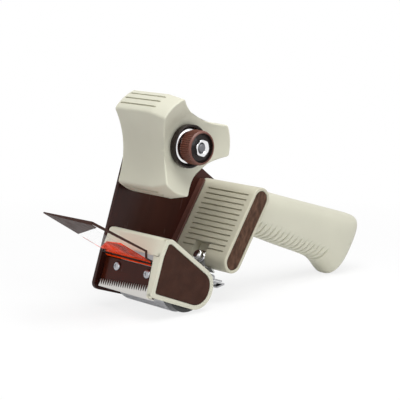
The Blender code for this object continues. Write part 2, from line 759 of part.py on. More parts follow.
def make_grip_half(name, side, cavity):
    """One hollow half of the grip, with bosses for the screws; side is -1 at the open side."""
    angles = [-math.pi / 2 + math.pi * k / GRIP_SECTION_POINTS for k in range(GRIP_SECTION_POINTS + 1)]
    rings = grip_rings(0, angles, GAP / 2)
    for ring in rings:
        for point in ring:
            point.y = GRIP_MIDDLE + side * point.y
    half = loft(name, rings)
    cut(half, cavity)
    wall = GRIP_MIDDLE + side * (GRIP_HALF_THICKNESS - GRIP_WALL * 0.6)
    for number, place in enumerate(grip_screw_places()):
        clamped = place[0] < tang_end()
        start = GRIP_MIDDLE + side * (TANG_THICKNESS / 2 + GAP if clamped else GAP / 2)
        boss = turned(f"{name}_boss_{number}", rod_profile(
            GRIP_BOSS_RADIUS, min(start, wall), max(start, wall)), [place], CUTTERS, 20)
        join(half, boss)
    outer = GRIP_MIDDLE + GRIP_HALF_THICKNESS
    hole = turned(f"{name}_screw_holes", [
        (0, outer + OVERRUN), (GRIP_SCREW_HEAD + GAP, outer + OVERRUN),
        (GRIP_SCREW_HEAD + GAP, outer - GRIP_SCREW_SINK - GRIP_SCREW_HEAD_HEIGHT - GAP),
        (GRIP_SCREW_RADIUS + GAP, outer - GRIP_SCREW_SINK - GRIP_SCREW_HEAD_HEIGHT - GAP),
        (GRIP_SCREW_RADIUS + GAP, outer - GRIP_SCREW_SINK - GRIP_SCREW_LENGTH - OVERRUN),
        (0, outer - GRIP_SCREW_SINK - GRIP_SCREW_LENGTH - OVERRUN)], grip_screw_places(), CUTTERS, 16)
    cut(half, hole)
    return paint(half, BEIGE, 0.45)


def make_grip():
    """Both halves and their screws."""
    angles = [2 * math.pi * (k + 0.5) / (2 * GRIP_SECTION_POINTS) for k in range(2 * GRIP_SECTION_POINTS)]
    rings = grip_rings(GRIP_WALL, angles, None)
    for ring in rings:
        for point in ring:
            point.y += GRIP_MIDDLE
    opening = [point - Vector((OVERRUN * 2, 0, 0)) for point in rings[0]]
    cavity = loft("grip_cavity", [opening] + rings[:-2], CUTTERS)
    halves = [make_grip_half("grip_half_open_side", -1, cavity),
              make_grip_half("grip_half_frame_side", 1, cavity)]
    top = GRIP_MIDDLE + GRIP_HALF_THICKNESS - GRIP_SCREW_SINK
    places = grip_screw_places()
    screw = turned("grip_screw_1", [
        (0, top), (GRIP_SCREW_HEAD * 0.8, top), (GRIP_SCREW_HEAD, top - GRIP_SCREW_HEAD_HEIGHT / 2),
        (GRIP_SCREW_HEAD, top - GRIP_SCREW_HEAD_HEIGHT), (GRIP_SCREW_RADIUS, top - GRIP_SCREW_HEAD_HEIGHT),
        (GRIP_SCREW_RADIUS, top - GRIP_SCREW_LENGTH), (0, top - GRIP_SCREW_LENGTH)],
        places[:1], steps=16)
    return halves + copies(paint(screw, STEEL, 0.3, 1), shifts_between(places))


def tang_end():
    """x where the bracket's tang ends inside the grip."""
    return grip_start() + TANG_END_SHARE * GRIP_LENGTH


def rivet_line():
    """Base on the housing's rear face and outward direction of the bracket's rivets."""
    base = slab_point(SLAB_CAVITY_LENGTH / 2, SLAB_RADIUS)
    return (base.x, 0, base.y), (SLAB_BACK.x, 0, SLAB_BACK.y)


def rivet_across():
    """y of the two rivets."""
    reach = BRACKET_HALF_WIDTH - RIVET_INSET
    return (GRIP_MIDDLE - reach - GRIP_HALF_THICKNESS / 2, GRIP_MIDDLE + reach + GRIP_HALF_THICKNESS / 2)


def make_bracket():
    """Steel plate inside the housing with a tang that reaches into the grip."""
    back = SLAB_CAVITY_RADIUS - GAP
    front = back - BRACKET_THICKNESS
    start, end = OVERRUN, SLAB_CAVITY_LENGTH - OVERRUN
    reach = rivet_across()[1] - GRIP_MIDDLE + RIVET_INSET
    plate = prism("grip_bracket", [[tuple(slab_point(down, over)) for down, over in (
        (start, front), (start, back), (end, back), (end, front))]], GRIP_MIDDLE - reach, GRIP_MIDDLE + reach)
    middle = slab_point((start + end) / 2, front)
    tang = box("tang_shape", (middle.x + BRACKET_THICKNESS, GRIP_MIDDLE - TANG_THICKNESS / 2, tang_low()),
               (tang_end(), GRIP_MIDDLE + TANG_THICKNESS / 2, tang_low() + TANG_HEIGHT), CUTTERS)
    join(plate, tang)
    holes = turned("tang_holes", rod_profile(GRIP_SCREW_RADIUS + GAP, GRIP_MIDDLE - TANG_THICKNESS,
                   GRIP_MIDDLE + TANG_THICKNESS), grip_screw_places(), CUTTERS, 16)
    rivet_holes = slanted_profile("bracket_rivet_holes", rod_profile(
        RIVET_RADIUS + GAP, -2 * SLAB_RADIUS, OVERRUN), *rivet_line(), CUTTERS, rivet_across())
    cut(plate, holes, rivet_holes)
    paint(plate, STEEL, 0.35, 1)
    inside = -(SLAB_RADIUS - SLAB_CAVITY_RADIUS) - BRACKET_THICKNESS - 2 * GAP
    near, far = rivet_across()
    rivet = slanted_profile("bracket_rivet_1", [
        (0, inside - RIVET_HEAD / 2), (RIVET_HEAD_RADIUS * 0.7, inside - RIVET_HEAD / 2),
        (RIVET_HEAD_RADIUS * 0.7, inside), (RIVET_RADIUS, inside), (RIVET_RADIUS, GAP),
        (RIVET_HEAD_RADIUS, GAP), (RIVET_HEAD_RADIUS * 0.9, RIVET_HEAD * 0.6),
        (RIVET_HEAD_RADIUS * 0.5, RIVET_HEAD), (0, RIVET_HEAD * 1.1)],
        *rivet_line(), centres_across=(near,))
    return [plate] + copies(paint(rivet, STEEL, 0.3, 1), [(0, far - near, 0)])


def nose_corners():
    """Corners (x, z, radius) of the nose cover's side outline."""
    end_x, end_z = NOSE_END
    rear = end_x + NOSE_END_RADIUS
    return [
        (*NOSE_TOP_FRONT, NOSE_FRONT_RADIUS),
        (*NOSE_CREST, NOSE_CREST_RADIUS),
        (rear, end_z + NOSE_END_RADIUS * NOSE_SHOULDER_SHARE, NOSE_SHOULDER_RADIUS),
        (rear, end_z - NOSE_END_RADIUS, NOSE_HEEL_RADIUS),
        (*NOSE_BOTTOM_FRONT, NOSE_FOOT_RADIUS),
        (*NOSE_BROW, NOSE_BROW_RADIUS),
    ]


def nose_outline(inset):
    """Side outline of the nose cover; inset gives the inlay's."""
    corners = nose_corners()
    if inset == 0:
        return rounded(corners)
    points = [Vector(corner[:2]) for corner in corners]
    moved = []
    for k, point in enumerate(points):
        one = (point - points[k - 1]).normalized()
        two = (points[(k + 1) % len(points)] - point).normalized()
        in_one, in_two = Vector((one.y, -one.x)), Vector((two.y, -two.x))
        moved.append(point + (in_one + in_two) * (inset / (1 + in_one.dot(in_two))))
    radii = [max(corner[2] - inset, min(corner[2], NOSE_FOOT_RADIUS)) for corner in corners]
    return rounded([(point.x, point.y, radius) for point, radius in zip(moved, radii)])


def nose_front_section():
    """Section of the front wall and its top; its outer face is the cover's own."""
    rear = NOSE_CREST[0] - NOSE_CREST_RADIUS / 10
    hem = NOSE_BOTTOM_FRONT[1] + NOSE_FOOT_RADIUS / 2
    face = [point for point in nose_outline(0) if point[0] < rear and point[1] > hem]
    face.sort(key=lambda point: point[1])
    return face + [
        (face[-1][0], face[-1][1] - FRONT_WALL),
        (NOSE_TOP_FRONT[0] + FRONT_WALL, NOSE_TOP_FRONT[1] - FRONT_WALL),
        (NOSE_BROW[0] + FRONT_WALL, NOSE_BROW[1]),
        (NOSE_BOTTOM_FRONT[0] + FRONT_WALL, face[0][1]),
    ]


def make_nose_cover(holes):
    """Guard: side wall at the open side, beam across the front, column between them."""
    near = -NOSE_OPEN_FACE
    cover = prism("nose_cover", [nose_outline(0)], near, near + NOSE_WALL)
    inner = near + NOSE_WALL / 2
    far = PLATE_INNER - GAP
    foot = Vector(NOSE_BOTTOM_FRONT)
    front = prism("nose_front_shape", [nose_front_section()], inner, far, CUTTERS)
    block_x, block_z = beam_block_middle()
    reach = BEAM_BLOCK / 2
    block = box("nose_block_shape", (block_x - reach - FRONT_WALL / 2, far - BEAM_BLOCK, block_z - reach),
                (block_x + reach, far, block_z + reach), CUTTERS)
    boss = turned("nose_boss_shape", rod_profile(ROLLER_BOSS_RADIUS, near + NOSE_WALL / 2,
                  near + NOSE_WALL + GAP), [ROLLER_AXIS], CUTTERS)
    join(cover, front, block, boss)
    end = foot.y - OVERRUN
    window = panel("nose_window", [[
        (near + COLUMN_TOP, WINDOW_TOP), (far + OVERRUN, WINDOW_TOP),
        (far + OVERRUN, -end), (near + COLUMN_FOOT, -end),
    ]], (foot.x + FRONT_WALL + OVERRUN, 0, 0), (0, 0, -1), FRONT_WALL + 2 * OVERRUN, CUTTERS)
    recess = prism("nose_recess", [nose_outline(NOSE_RIM - GAP)],
                   near - OVERRUN, near + NOSE_INLAY_DEPTH + GAP, CUTTERS)
    axle_hole = turned("nose_axle_hole", rod_profile(
        AXLE_RADIUS + GAP, near - OVERRUN, near + NOSE_WALL + OVERRUN), [ROLLER_AXIS], CUTTERS)
    pin_hole = turned("nose_pin_hole", rod_profile(
        FLAP_PIN_RADIUS + GAP, near + NOSE_WALL / 2, near + COLUMN_TOP + OVERRUN), [FLAP_PIN], CUTTERS, 16)
    cut(cover, window, recess, axle_hole, pin_hole, holes)
    return paint(cover, BEIGE, 0.45)


def make_nose_inlay():
    """Brown panel in the nose cover's side."""
    near = -NOSE_OPEN_FACE + GAP
    return paint(prism("nose_side_inlay", [nose_outline(NOSE_RIM)], near, near + NOSE_INLAY_DEPTH - GAP),
                 INLAY_BROWN, 0.5)


def make_carrier(holes):
    """Cross plate behind the nose's window, with a flange on the side frame."""
    near, far = -NOSE_OPEN_FACE + NOSE_WALL + GAP, PLATE_INNER - GAP
    middle = -CARRIER_FRONT + CARRIER_THICKNESS / 2
    back = -CARRIER_FRONT + CARRIER_THICKNESS
    plate = box("blade_carrier", (-CARRIER_FRONT, near, -CARRIER_BOTTOM), (back, far, -CARRIER_TOP))
    flange = box("carrier_flange_shape", (middle, far - CARRIER_FLANGE, -CARRIER_BOTTOM),
                 (middle + CARRIER_FLANGE_REACH, far, -CARRIER_TOP), CUTTERS)
    join(plate, flange)
    screw_holes = slanted_profile("carrier_screw_holes", rod_profile(
        BLADE_SCREW_RADIUS + GAP, -OVERRUN, CARRIER_THICKNESS + OVERRUN),
        (-CARRIER_FRONT, 0, -BLADE_SCREW_HEIGHT), (1, 0, 0), CUTTERS, BLADE_SCREW_ACROSS)
    cut(plate, screw_holes, holes)
    return paint(plate, DARK_BROWN, 0.3)


def make_blade():
    """Serrated strip: up behind the carrier, under it, and up in front to the teeth."""
    back = -CARRIER_FRONT + CARRIER_THICKNESS + GAP + BLADE_THICKNESS / 2
    front = -BLADE_FRONT
    body = prism("cutter_blade", [strip_outline([
        (back, -BLADE_BACK_TOP), (back, -BLADE_BOTTOM), (front, -BLADE_BOTTOM), (front, -BLADE_ROOT),
    ], BLADE_THICKNESS)], BLADE_NEAR, BLADE_FAR)
    pitch = (BLADE_FAR - BLADE_NEAR) / BLADE_TEETH
    edge = [(BLADE_NEAR, -BLADE_ROOT - BLADE_TOOTH / 4), (BLADE_NEAR, -BLADE_ROOT)]
    for tooth in range(BLADE_TEETH):
        start = BLADE_NEAR + tooth * pitch
        edge += [(start + pitch / 2, -BLADE_ROOT + BLADE_TOOTH), (start + pitch, -BLADE_ROOT)]
    edge.append((BLADE_FAR, -BLADE_ROOT - BLADE_TOOTH / 4))
    teeth = panel("blade_teeth_shape", [edge], (front - BLADE_THICKNESS / 2, 0, 0), (0, 0, 1),
                  BLADE_THICKNESS, CUTTERS)
    join(body, teeth)
    screw_holes = slanted_profile("blade_screw_holes", rod_profile(
        BLADE_SCREW_RADIUS + GAP, -OVERRUN, CARRIER_THICKNESS + 2 * OVERRUN),
        (-CARRIER_FRONT, 0, -BLADE_SCREW_HEIGHT), (1, 0, 0), CUTTERS, BLADE_SCREW_ACROSS)
    cut(body, screw_holes)
    return paint(body, STEEL, 0.25, 1)


def make_blade_screws():
    """Two pan-head screws that clamp the blade to its carrier."""
    head = BLADE_SCREW_HEAD_HEIGHT
    near, far = BLADE_SCREW_ACROSS
    screw = slanted_profile("blade_screw_1", [
        (0, -GAP - head), (BLADE_SCREW_HEAD * 0.55, -GAP - head), (BLADE_SCREW_HEAD * 0.9, -GAP - head * 0.6),
        (BLADE_SCREW_HEAD, -GAP - head * 0.2), (BLADE_SCREW_HEAD, -GAP), (BLADE_SCREW_RADIUS, -GAP),
        (BLADE_SCREW_RADIUS, BLADE_SCREW_LENGTH), (0, BLADE_SCREW_LENGTH)],
        (-CARRIER_FRONT, 0, -BLADE_SCREW_HEIGHT), (1, 0, 0), centres_across=(near,))
    return copies(paint(screw, CHROME, 0.12, 1), [(0, far - near, 0)])


def make_roller():
    """Sleeve on a core, with an end cap and a bush, turning on a fixed axle."""
    core_radius = ROLLER_RADIUS - ROLLER_SLEEVE_WALL - GAP
    core_bore = core_radius - ROLLER_CORE_WALL
    bore = AXLE_RADIUS + GAP
    sleeve = turned("roller_sleeve", ring_profile(
        core_radius + GAP, ROLLER_RADIUS, ROLLER_NEAR, ROLLER_FAR), [ROLLER_AXIS])
    paint(sleeve, RUBBER_GREY, 0.7)
    core = turned("roller_core", ring_profile(
        core_bore, core_radius, ROLLER_NEAR, ROLLER_FAR - GAP), [ROLLER_AXIS])
    paint(core, NYLON, 0.5)
    near, seat = -ROLLER_CAP_FACE, ROLLER_NEAR - GAP
    plug = seat + ROLLER_BUSH_WIDTH
    cap = turned("roller_end_cap", [
        (bore, near), (ROLLER_CAP_RADIUS, near), (ROLLER_CAP_RADIUS, seat), (core_bore - GAP, seat),
        (core_bore - GAP, plug), (bore, plug)], [ROLLER_AXIS])
    paint(cap, BLACK, 0.4)
    bush = turned("roller_bush", ring_profile(
        bore, core_bore - GAP, ROLLER_FAR - ROLLER_BUSH_WIDTH, ROLLER_FAR - GAP), [ROLLER_AXIS])
    paint(bush, NYLON, 0.4)
    recess_floor = -NOSE_OPEN_FACE + NOSE_INLAY_DEPTH
    end = PLATE_INNER + PLATE_THICKNESS - GAP
    axle = turned("roller_axle", rod_profile(AXLE_RADIUS, recess_floor + 2 * GAP, end, 2 * GAP),
                  [ROLLER_AXIS], steps=24)
    paint(axle, STEEL, 0.25, 1)
    return [sleeve, core, cap, bush], axle


def retainer_screw_line():
    """Point on the slot's floor and the direction into the housing."""
    base = slab_point(RETAINER_SCREW_DOWN, -SLAB_RADIUS + SLOT_DEPTH)
    return (base.x, (SLOT_NEAR + SLOT_FAR) / 2, base.y), (SLAB_BACK.x, 0, SLAB_BACK.y)


def make_retainer():
    """Spring comb behind the roller on a pin, its bracket, screw and washer."""
    across = (SLOT_NEAR + SLOT_FAR) / 2
    floor = -SLAB_RADIUS + SLOT_DEPTH - GAP - RETAINER_THICKNESS / 2
    pivot = Vector(RETAINER_PIVOT)
    fork = RETAINER_BARREL_RADIUS + RUNNING_GAP
    elbow = slab_point(SLAB_LENGTH + SLAB_RADIUS + RUNNING_GAP, floor)
    bracket = prism("retainer_bracket", [strip_outline([
        tuple(slab_point(RETAINER_SCREW_DOWN - RETAINER_WASHER_RADIUS, floor)), tuple(elbow),
        (pivot.x, pivot.y),
    ], RETAINER_THICKNESS)], across - RETAINER_BRACKET_HALF_WIDTH, across + RETAINER_BRACKET_HALF_WIDTH)
    eye = turned("retainer_eye_shape", rod_profile(RETAINER_BARREL_RADIUS, across - RETAINER_BRACKET_HALF_WIDTH,
                 across + RETAINER_BRACKET_HALF_WIDTH), [RETAINER_PIVOT], CUTTERS, 20)
    tab = prism("retainer_tab_shape", [strip_outline([tuple(elbow), RETAINER_TAB], RETAINER_THICKNESS)],
                across - RETAINER_TAB_HALF_WIDTH, across + RETAINER_TAB_HALF_WIDTH, CUTTERS)
    join(bracket, eye, tab)
    bracket_hole = slanted_profile("bracket_hole", rod_profile(
        RETAINER_SHANK_RADIUS + GAP, -3 * RETAINER_THICKNESS, OVERRUN), *retainer_screw_line(), CUTTERS)
    pin_hole = turned("retainer_pin_hole", rod_profile(RETAINER_PIN_RADIUS + GAP, RETAINER_NEAR - OVERRUN,
                      RETAINER_FAR + OVERRUN), [RETAINER_PIVOT], CUTTERS, 20)
    cut(bracket, bracket_hole, pin_hole)
    paint(bracket, STEEL, 0.3, 1)

    comb = prism("tape_retainer", [strip_outline([
        RETAINER_TIP, (pivot.x - RETAINER_BARREL_RADIUS / 2, pivot.y - RETAINER_BARREL_RADIUS),
        (pivot.x + RETAINER_BARREL_RADIUS, pivot.y - RETAINER_BARREL_RADIUS), RETAINER_TAIL,
    ], RETAINER_THICKNESS)], RETAINER_NEAR, RETAINER_FAR)
    barrel = turned("comb_barrel_shape", rod_profile(RETAINER_BARREL_RADIUS, RETAINER_NEAR, RETAINER_FAR),
                    [RETAINER_PIVOT], CUTTERS, 20)
    leaf = prism("comb_leaf_shape", [strip_outline(RETAINER_LEAF, RETAINER_THICKNESS)],
                 RETAINER_NEAR, RETAINER_FAR, CUTTERS)
    hem = prism("comb_hem_shape", [strip_outline([RETAINER_TAIL, RETAINER_HEM], RETAINER_THICKNESS)],
                RETAINER_NEAR, RETAINER_FAR, CUTTERS)
    join(comb, barrel, leaf, hem)
    pitch = (RETAINER_FAR - RETAINER_NEAR) / RETAINER_FINGERS
    gap = pitch * RETAINER_FINGER_GAP_SHARE
    tip = Vector(RETAINER_TIP)
    gaps = boxes("comb_gaps", [
        (tip.x, RETAINER_NEAR + finger * pitch, tip.y) for finger in range(1, RETAINER_FINGERS)
    ], ((pivot.x - tip.x) * 1.1, gap, (pivot.y - tip.y) * 1.5), collection=CUTTERS)
    tail_gaps = boxes("tail_gaps", [
        (RETAINER_TAIL[0], RETAINER_NEAR + finger * pitch, RETAINER_TAIL[1])
        for finger in range(1, RETAINER_FINGERS)
    ], ((RETAINER_TAIL[0] - pivot.x) * 0.9, gap, RETAINER_BARREL_RADIUS * 2), collection=CUTTERS)
    fork_side = RETAINER_BRACKET_HALF_WIDTH + RUNNING_GAP
    fork_gap = box("fork_gap", (pivot.x - fork, across - fork_side, pivot.y - fork - GAP),
                   (pivot.x + fork, across + fork_side, pivot.y + fork), CUTTERS)
    cut(comb, gaps, tail_gaps, fork_gap, pin_hole)
    paint(comb, STEEL, 0.35, 1)

    pin = turned("retainer_pin", rod_profile(RETAINER_PIN_RADIUS, RETAINER_NEAR, RETAINER_FAR),
                 [RETAINER_PIVOT], steps=16)
    paint(pin, STEEL, 0.3, 1)
    base, into = retainer_screw_line()
    seat = -RETAINER_THICKNESS - 2 * GAP
    washer_bore = RETAINER_SHANK_RADIUS + GAP
    washer_face = seat - RETAINER_WASHER_THICKNESS
    washer = slanted_profile("retainer_washer", [
        (washer_bore, seat), (RETAINER_WASHER_RADIUS, seat), (RETAINER_WASHER_RADIUS, washer_face),
        (washer_bore, washer_face), (washer_bore, seat)], base, into)
    paint(washer, CHROME, 0.2, 1)
    under = washer_face - GAP
    head = RETAINER_HEAD_HEIGHT
    screw = slanted_profile("retainer_screw", [
        (0, under - head), (RETAINER_HEAD_RADIUS * 0.75, under - head),
        (RETAINER_HEAD_RADIUS, under - head * 0.8), (RETAINER_HEAD_RADIUS, under),
        (RETAINER_SHANK_RADIUS, under), (RETAINER_SHANK_RADIUS, RETAINER_SHANK - GAP),
        (0, RETAINER_SHANK - GAP)], base, into)
    paint(screw, CHROME, 0.12, 1)
    return comb, [bracket, pin, washer, screw]


def flap_panel(name, loops, lift, thickness, collection=PARTS):
    """A (y, distance from the pin) outline in the flap's plane, lifted off it."""
    out = Vector((-math.cos(FLAP_RISE), 0, math.sin(FLAP_RISE)))
    normal = Vector((0, 1, 0)).cross(out)
    base = Vector((FLAP_PIN[0], 0, FLAP_PIN[1])) + normal * lift
    return panel(name, loops, base, out, thickness, collection)


def make_flap():
    """Clear film on a barrel, with an orange panel and a brown tip plate."""
    near, far, length = FLAP_NEAR, FLAP_FAR, FLAP_LENGTH
    root = FLAP_BARREL_RADIUS * 0.6
    film_near = near + FLAP_RAIL_WIDTH + GAP
    tip_far = length * (1 - FLAP_TIP_FAR_SHARE)
    tip_near = length * (1 - FLAP_TIP_NEAR_SHARE)
    ledge_end = 3 * FLAP_BARREL_RADIUS

    def end(across):
        return length - FLAP_TIP_SLANT * (far - across) / (far - near)

    barrel = turned("flap_hinge_bar", ring_profile(FLAP_PIN_RADIUS + GAP, FLAP_BARREL_RADIUS, near, far),
                    [FLAP_PIN], steps=20)
    ledge = flap_panel("flap_ledge_shape", [[(near, root), (far, root), (far, ledge_end), (near, ledge_end)]],
                       -FLAP_LAYER - FLAP_THICKNESS - GAP, FLAP_LAYER, CUTTERS)
    join(barrel, ledge)
    start = FLAP_BARREL_RADIUS + GAP
    film = flap_panel("flap_film", [[
        (film_near, start), (far, start), (far, length - FLAP_CORNER),
        (far - FLAP_CORNER, end(far - FLAP_CORNER) - GAP), (film_near, end(film_near) - GAP),
    ]], -FLAP_THICKNESS, FLAP_THICKNESS)
    orange = flap_panel("flap_orange_panel", [[
        (film_near, ledge_end + GAP), (far - GAP, ledge_end + GAP),
        (far - GAP, ledge_end + length * FLAP_ORANGE_FAR_SHARE), FLAP_ORANGE_PEAK,
        (film_near, ledge_end + length * FLAP_ORANGE_NEAR_SHARE),
    ]], GAP, FLAP_LAYER)
    tip = flap_panel("flap_tip_plate", [[
        (near, start), (near + FLAP_RAIL_WIDTH, start), (near + FLAP_RAIL_WIDTH, tip_near), (far, tip_far),
        (far, length - FLAP_CORNER), (far - FLAP_CORNER, end(far - FLAP_CORNER)),
        (near + FLAP_CORNER, end(near + FLAP_CORNER)), (near, end(near) - FLAP_CORNER),
    ]], GAP, FLAP_LAYER)
    rail = flap_panel("flap_rail_shape", [[
        (near, FLAP_RAIL_START), (near + FLAP_RAIL_WIDTH, FLAP_RAIL_START),
        (near + FLAP_RAIL_WIDTH, end(near) - FLAP_CORNER), (near, end(near) - FLAP_CORNER),
    ]], GAP, FLAP_RAIL_HEIGHT, CUTTERS)
    join(tip, rail)
    pin_near = -NOSE_OPEN_FACE + NOSE_WALL / 2 + GAP
    pin_far = PLATE_INNER + PLATE_THICKNESS - GAP
    pin = turned("flap_pin", rod_profile(FLAP_PIN_RADIUS, pin_near, pin_far), [FLAP_PIN], steps=16)
    paint(barrel, DARK_BROWN, 0.4)
    paint(film, CLEAR, 0.1, 0, 0.9)
    paint(orange, ORANGE, 0.3)
    paint(tip, BROWN, 0.4)
    paint(pin, STEEL, 0.3, 1)
    return [barrel, film, orange, tip], pin


def make_hub():
    """Three-lobed moulding, hollow from behind, with two bushes."""
    hub = prism("tape_hub", [star_outline(HUB_RADIUS)], -OVERRUN, HUB_LENGTH)
    round_edges(hub, HUB_EDGE, 2)
    slope = (HUB_RADIUS - HUB_TIP_RADIUS) / HUB_TAPER
    wide = HUB_RADIUS + OVERRUN
    far = HUB_LENGTH + OVERRUN
    round_tool = turned("hub_envelope", [
        (0, HUB_FLOOR), (HUB_FLOOR_RADIUS, HUB_FLOOR), (HUB_SIDE_DEPTH, HUB_DISH_SIDE), (HUB_TIP_RADIUS, 0),
        (wide, (wide - HUB_TIP_RADIUS) / slope), (wide, far), (0, far)], collection=CUTTERS, steps=48)
    boolean(hub, round_tool, "INTERSECT")
    boss = arc((0, 0), HUB_BOSS_RADIUS, 0, 2 * math.pi)[:-1]
    hollow = prism("hub_hollow", [star_outline(HUB_TIP_RADIUS, HUB_WALL), boss],
                   HUB_FLOOR + HUB_WALL, HUB_LENGTH + OVERRUN, CUTTERS)
    bore = turned("hub_bore", [
        (0, -OVERRUN), (BUSH_RADIUS + GAP, -OVERRUN), (BUSH_RADIUS + GAP, HUB_FLOOR + BUSH_LENGTH + GAP),
        (SPINDLE_RADIUS + RUNNING_GAP, HUB_FLOOR + BUSH_LENGTH + GAP),
        (SPINDLE_RADIUS + RUNNING_GAP, HUB_LENGTH - BUSH_LENGTH - GAP),
        (BUSH_RADIUS + GAP, HUB_LENGTH - BUSH_LENGTH - GAP), (BUSH_RADIUS + GAP, HUB_LENGTH + OVERRUN),
        (0, HUB_LENGTH + OVERRUN)], collection=CUTTERS)
    bm = bmesh.new()
    groove_length = HUB_GROOVE_END - HUB_GROOVE_START
    groove_middle = HUB_GROOVE_START + groove_length / 2
    for lobe in range(HUB_LOBES):
        for groove in range(HUB_GROOVES):
            off_middle = groove - (HUB_GROOVES - 1) / 2
            angle = HUB_TURN + lobe * 2 * math.pi / HUB_LOBES + off_middle * HUB_GROOVE_PITCH
            place = (HUB_RADIUS * math.cos(angle), groove_middle, HUB_RADIUS * math.sin(angle))
            matrix = Matrix.Translation(place) @ Matrix.Rotation(-angle, 4, "Y") \
                @ Matrix.Diagonal((2 * HUB_GROOVE_DEPTH, groove_length, HUB_GROOVE_WIDTH, 1))
            bmesh.ops.create_cube(bm, size=1, matrix=matrix)
    grooves = add_bmesh("hub_grooves", bm, CUTTERS)
    cut(hub, hollow, bore, grooves)
    paint(hub, BEIGE, 0.45)
    bushes = []
    for name, start in (("hub_bush_open_side", HUB_FLOOR), ("hub_bush_frame_side", HUB_LENGTH - BUSH_LENGTH)):
        bush = turned(name, ring_profile(SPINDLE_RADIUS + GAP, BUSH_RADIUS, start, start + BUSH_LENGTH),
                      steps=24)
        bushes.append(paint(bush, NYLON, 0.4))
    return [hub] + bushes


def make_spindle():
    """Shouldered stud riveted into the side frame, threaded at its open end."""
    outer = PLATE_INNER + PLATE_THICKNESS - GAP
    flange = PLATE_INNER - GAP
    shoulder = HUB_FLOOR - GAP
    end = knob_face() - GAP - NUT_HEIGHT + GAP
    spindle = turned("hub_spindle", [
        (0, outer), (SPINDLE_RADIUS, outer), (SPINDLE_RADIUS, flange), (SPINDLE_FLANGE_RADIUS, flange),
        (SPINDLE_FLANGE_RADIUS, flange - SPINDLE_FLANGE), (SPINDLE_RADIUS, flange - SPINDLE_FLANGE),
        (SPINDLE_RADIUS, shoulder), (SPINDLE_THREAD_RADIUS, shoulder), (SPINDLE_THREAD_RADIUS, end + GAP),
        (SPINDLE_THREAD_RADIUS - GAP, end), (0, end)], steps=28)
    paint(spindle, STEEL, 0.35, 1)
    washer = turned("hub_back_washer", ring_profile(SPINDLE_RADIUS + GAP, BACK_WASHER_RADIUS, HUB_LENGTH + GAP,
                    flange - SPINDLE_FLANGE - GAP), steps=28)
    paint(washer, NYLON, 0.4)
    return [spindle, washer]


def knob_face():
    """y of the recessed face that the nut sits on."""
    return -KNOB_FRONT + KNOB_RECESS


def thrust_face():
    """y of the thrust washer's face towards the spring."""
    return knob_face() + KNOB_WEB + GAP + THRUST_THICKNESS


def make_brake():
    """Cup against the hub's face, dished washer and coil spring."""
    bore = SPINDLE_THREAD_RADIUS + GAP
    floor = HUB_FLOOR - GAP
    inner = CUP_RADIUS - CUP_WALL
    rim = floor - CUP_FLOOR - CUP_RIM
    cup = turned("brake_cup", [
        (bore, floor), (CUP_RADIUS, floor), (CUP_RADIUS, rim + GAP), (CUP_RADIUS - CUP_WALL / 2, rim),
        (inner, rim + GAP), (inner, floor - CUP_FLOOR), (bore, floor - CUP_FLOOR)])
    paint(cup, DARK_BROWN, 0.2)
    seat = floor - CUP_FLOOR - GAP
    outer = DISH_WASHER_RADIUS
    washer = turned("dished_washer", [
        (bore, seat), (outer * 0.6, seat), (outer, seat - DISH_WASHER_RISE),
        (outer, seat - DISH_WASHER_RISE - DISH_WASHER_THICKNESS), (outer * 0.6, seat - DISH_WASHER_THICKNESS),
        (bore, seat - DISH_WASHER_THICKNESS)])
    paint(washer, CHROME, 0.1, 1)
    start = seat - DISH_WASHER_THICKNESS - GAP - SPRING_WIRE
    rise = (start - SPRING_WIRE - THRUST_PLAY - thrust_face()) / SPRING_COILS
    curve = bpy.data.curves.new("tension_spring", "CURVE")
    curve.dimensions = "3D"
    curve.bevel_depth = SPRING_WIRE
    curve.bevel_resolution = 1
    curve.use_fill_caps = True
    spline = curve.splines.new("POLY")
    count = math.ceil(SPRING_COILS * SPRING_POINTS)
    spline.points.add(count)
    path = []
    for k, point in enumerate(spline.points):
        turn = 2 * math.pi * SPRING_COILS * k / count
        along = start - rise * SPRING_COILS * k / count
        place = (SPRING_RADIUS * math.cos(turn), along, SPRING_RADIUS * math.sin(turn))
        path.append(Vector(place))
        point.co = (*place, 1)
    least = min((path[k] - path[j]).length
                for k in range(len(path)) for j in range(k + SPRING_POINTS // 2, len(path)))
    print("spring: least gap between its turns, mm", round((least - 2 * SPRING_WIRE) * 1000, 2))
    coil = evaluated(bpy.data.objects.new("spring_path", curve), Matrix.Identity(4))
    spring = add_bmesh("tension_spring", coil)
    paint(spring, STEEL, 0.25, 1)
    far = thrust_face()
    thrust = turned("thrust_washer", ring_profile(bore, THRUST_RADIUS, far - THRUST_THICKNESS, far), steps=24)
    paint(thrust, STEEL, 0.3, 1)
    return [cup, washer, spring], thrust


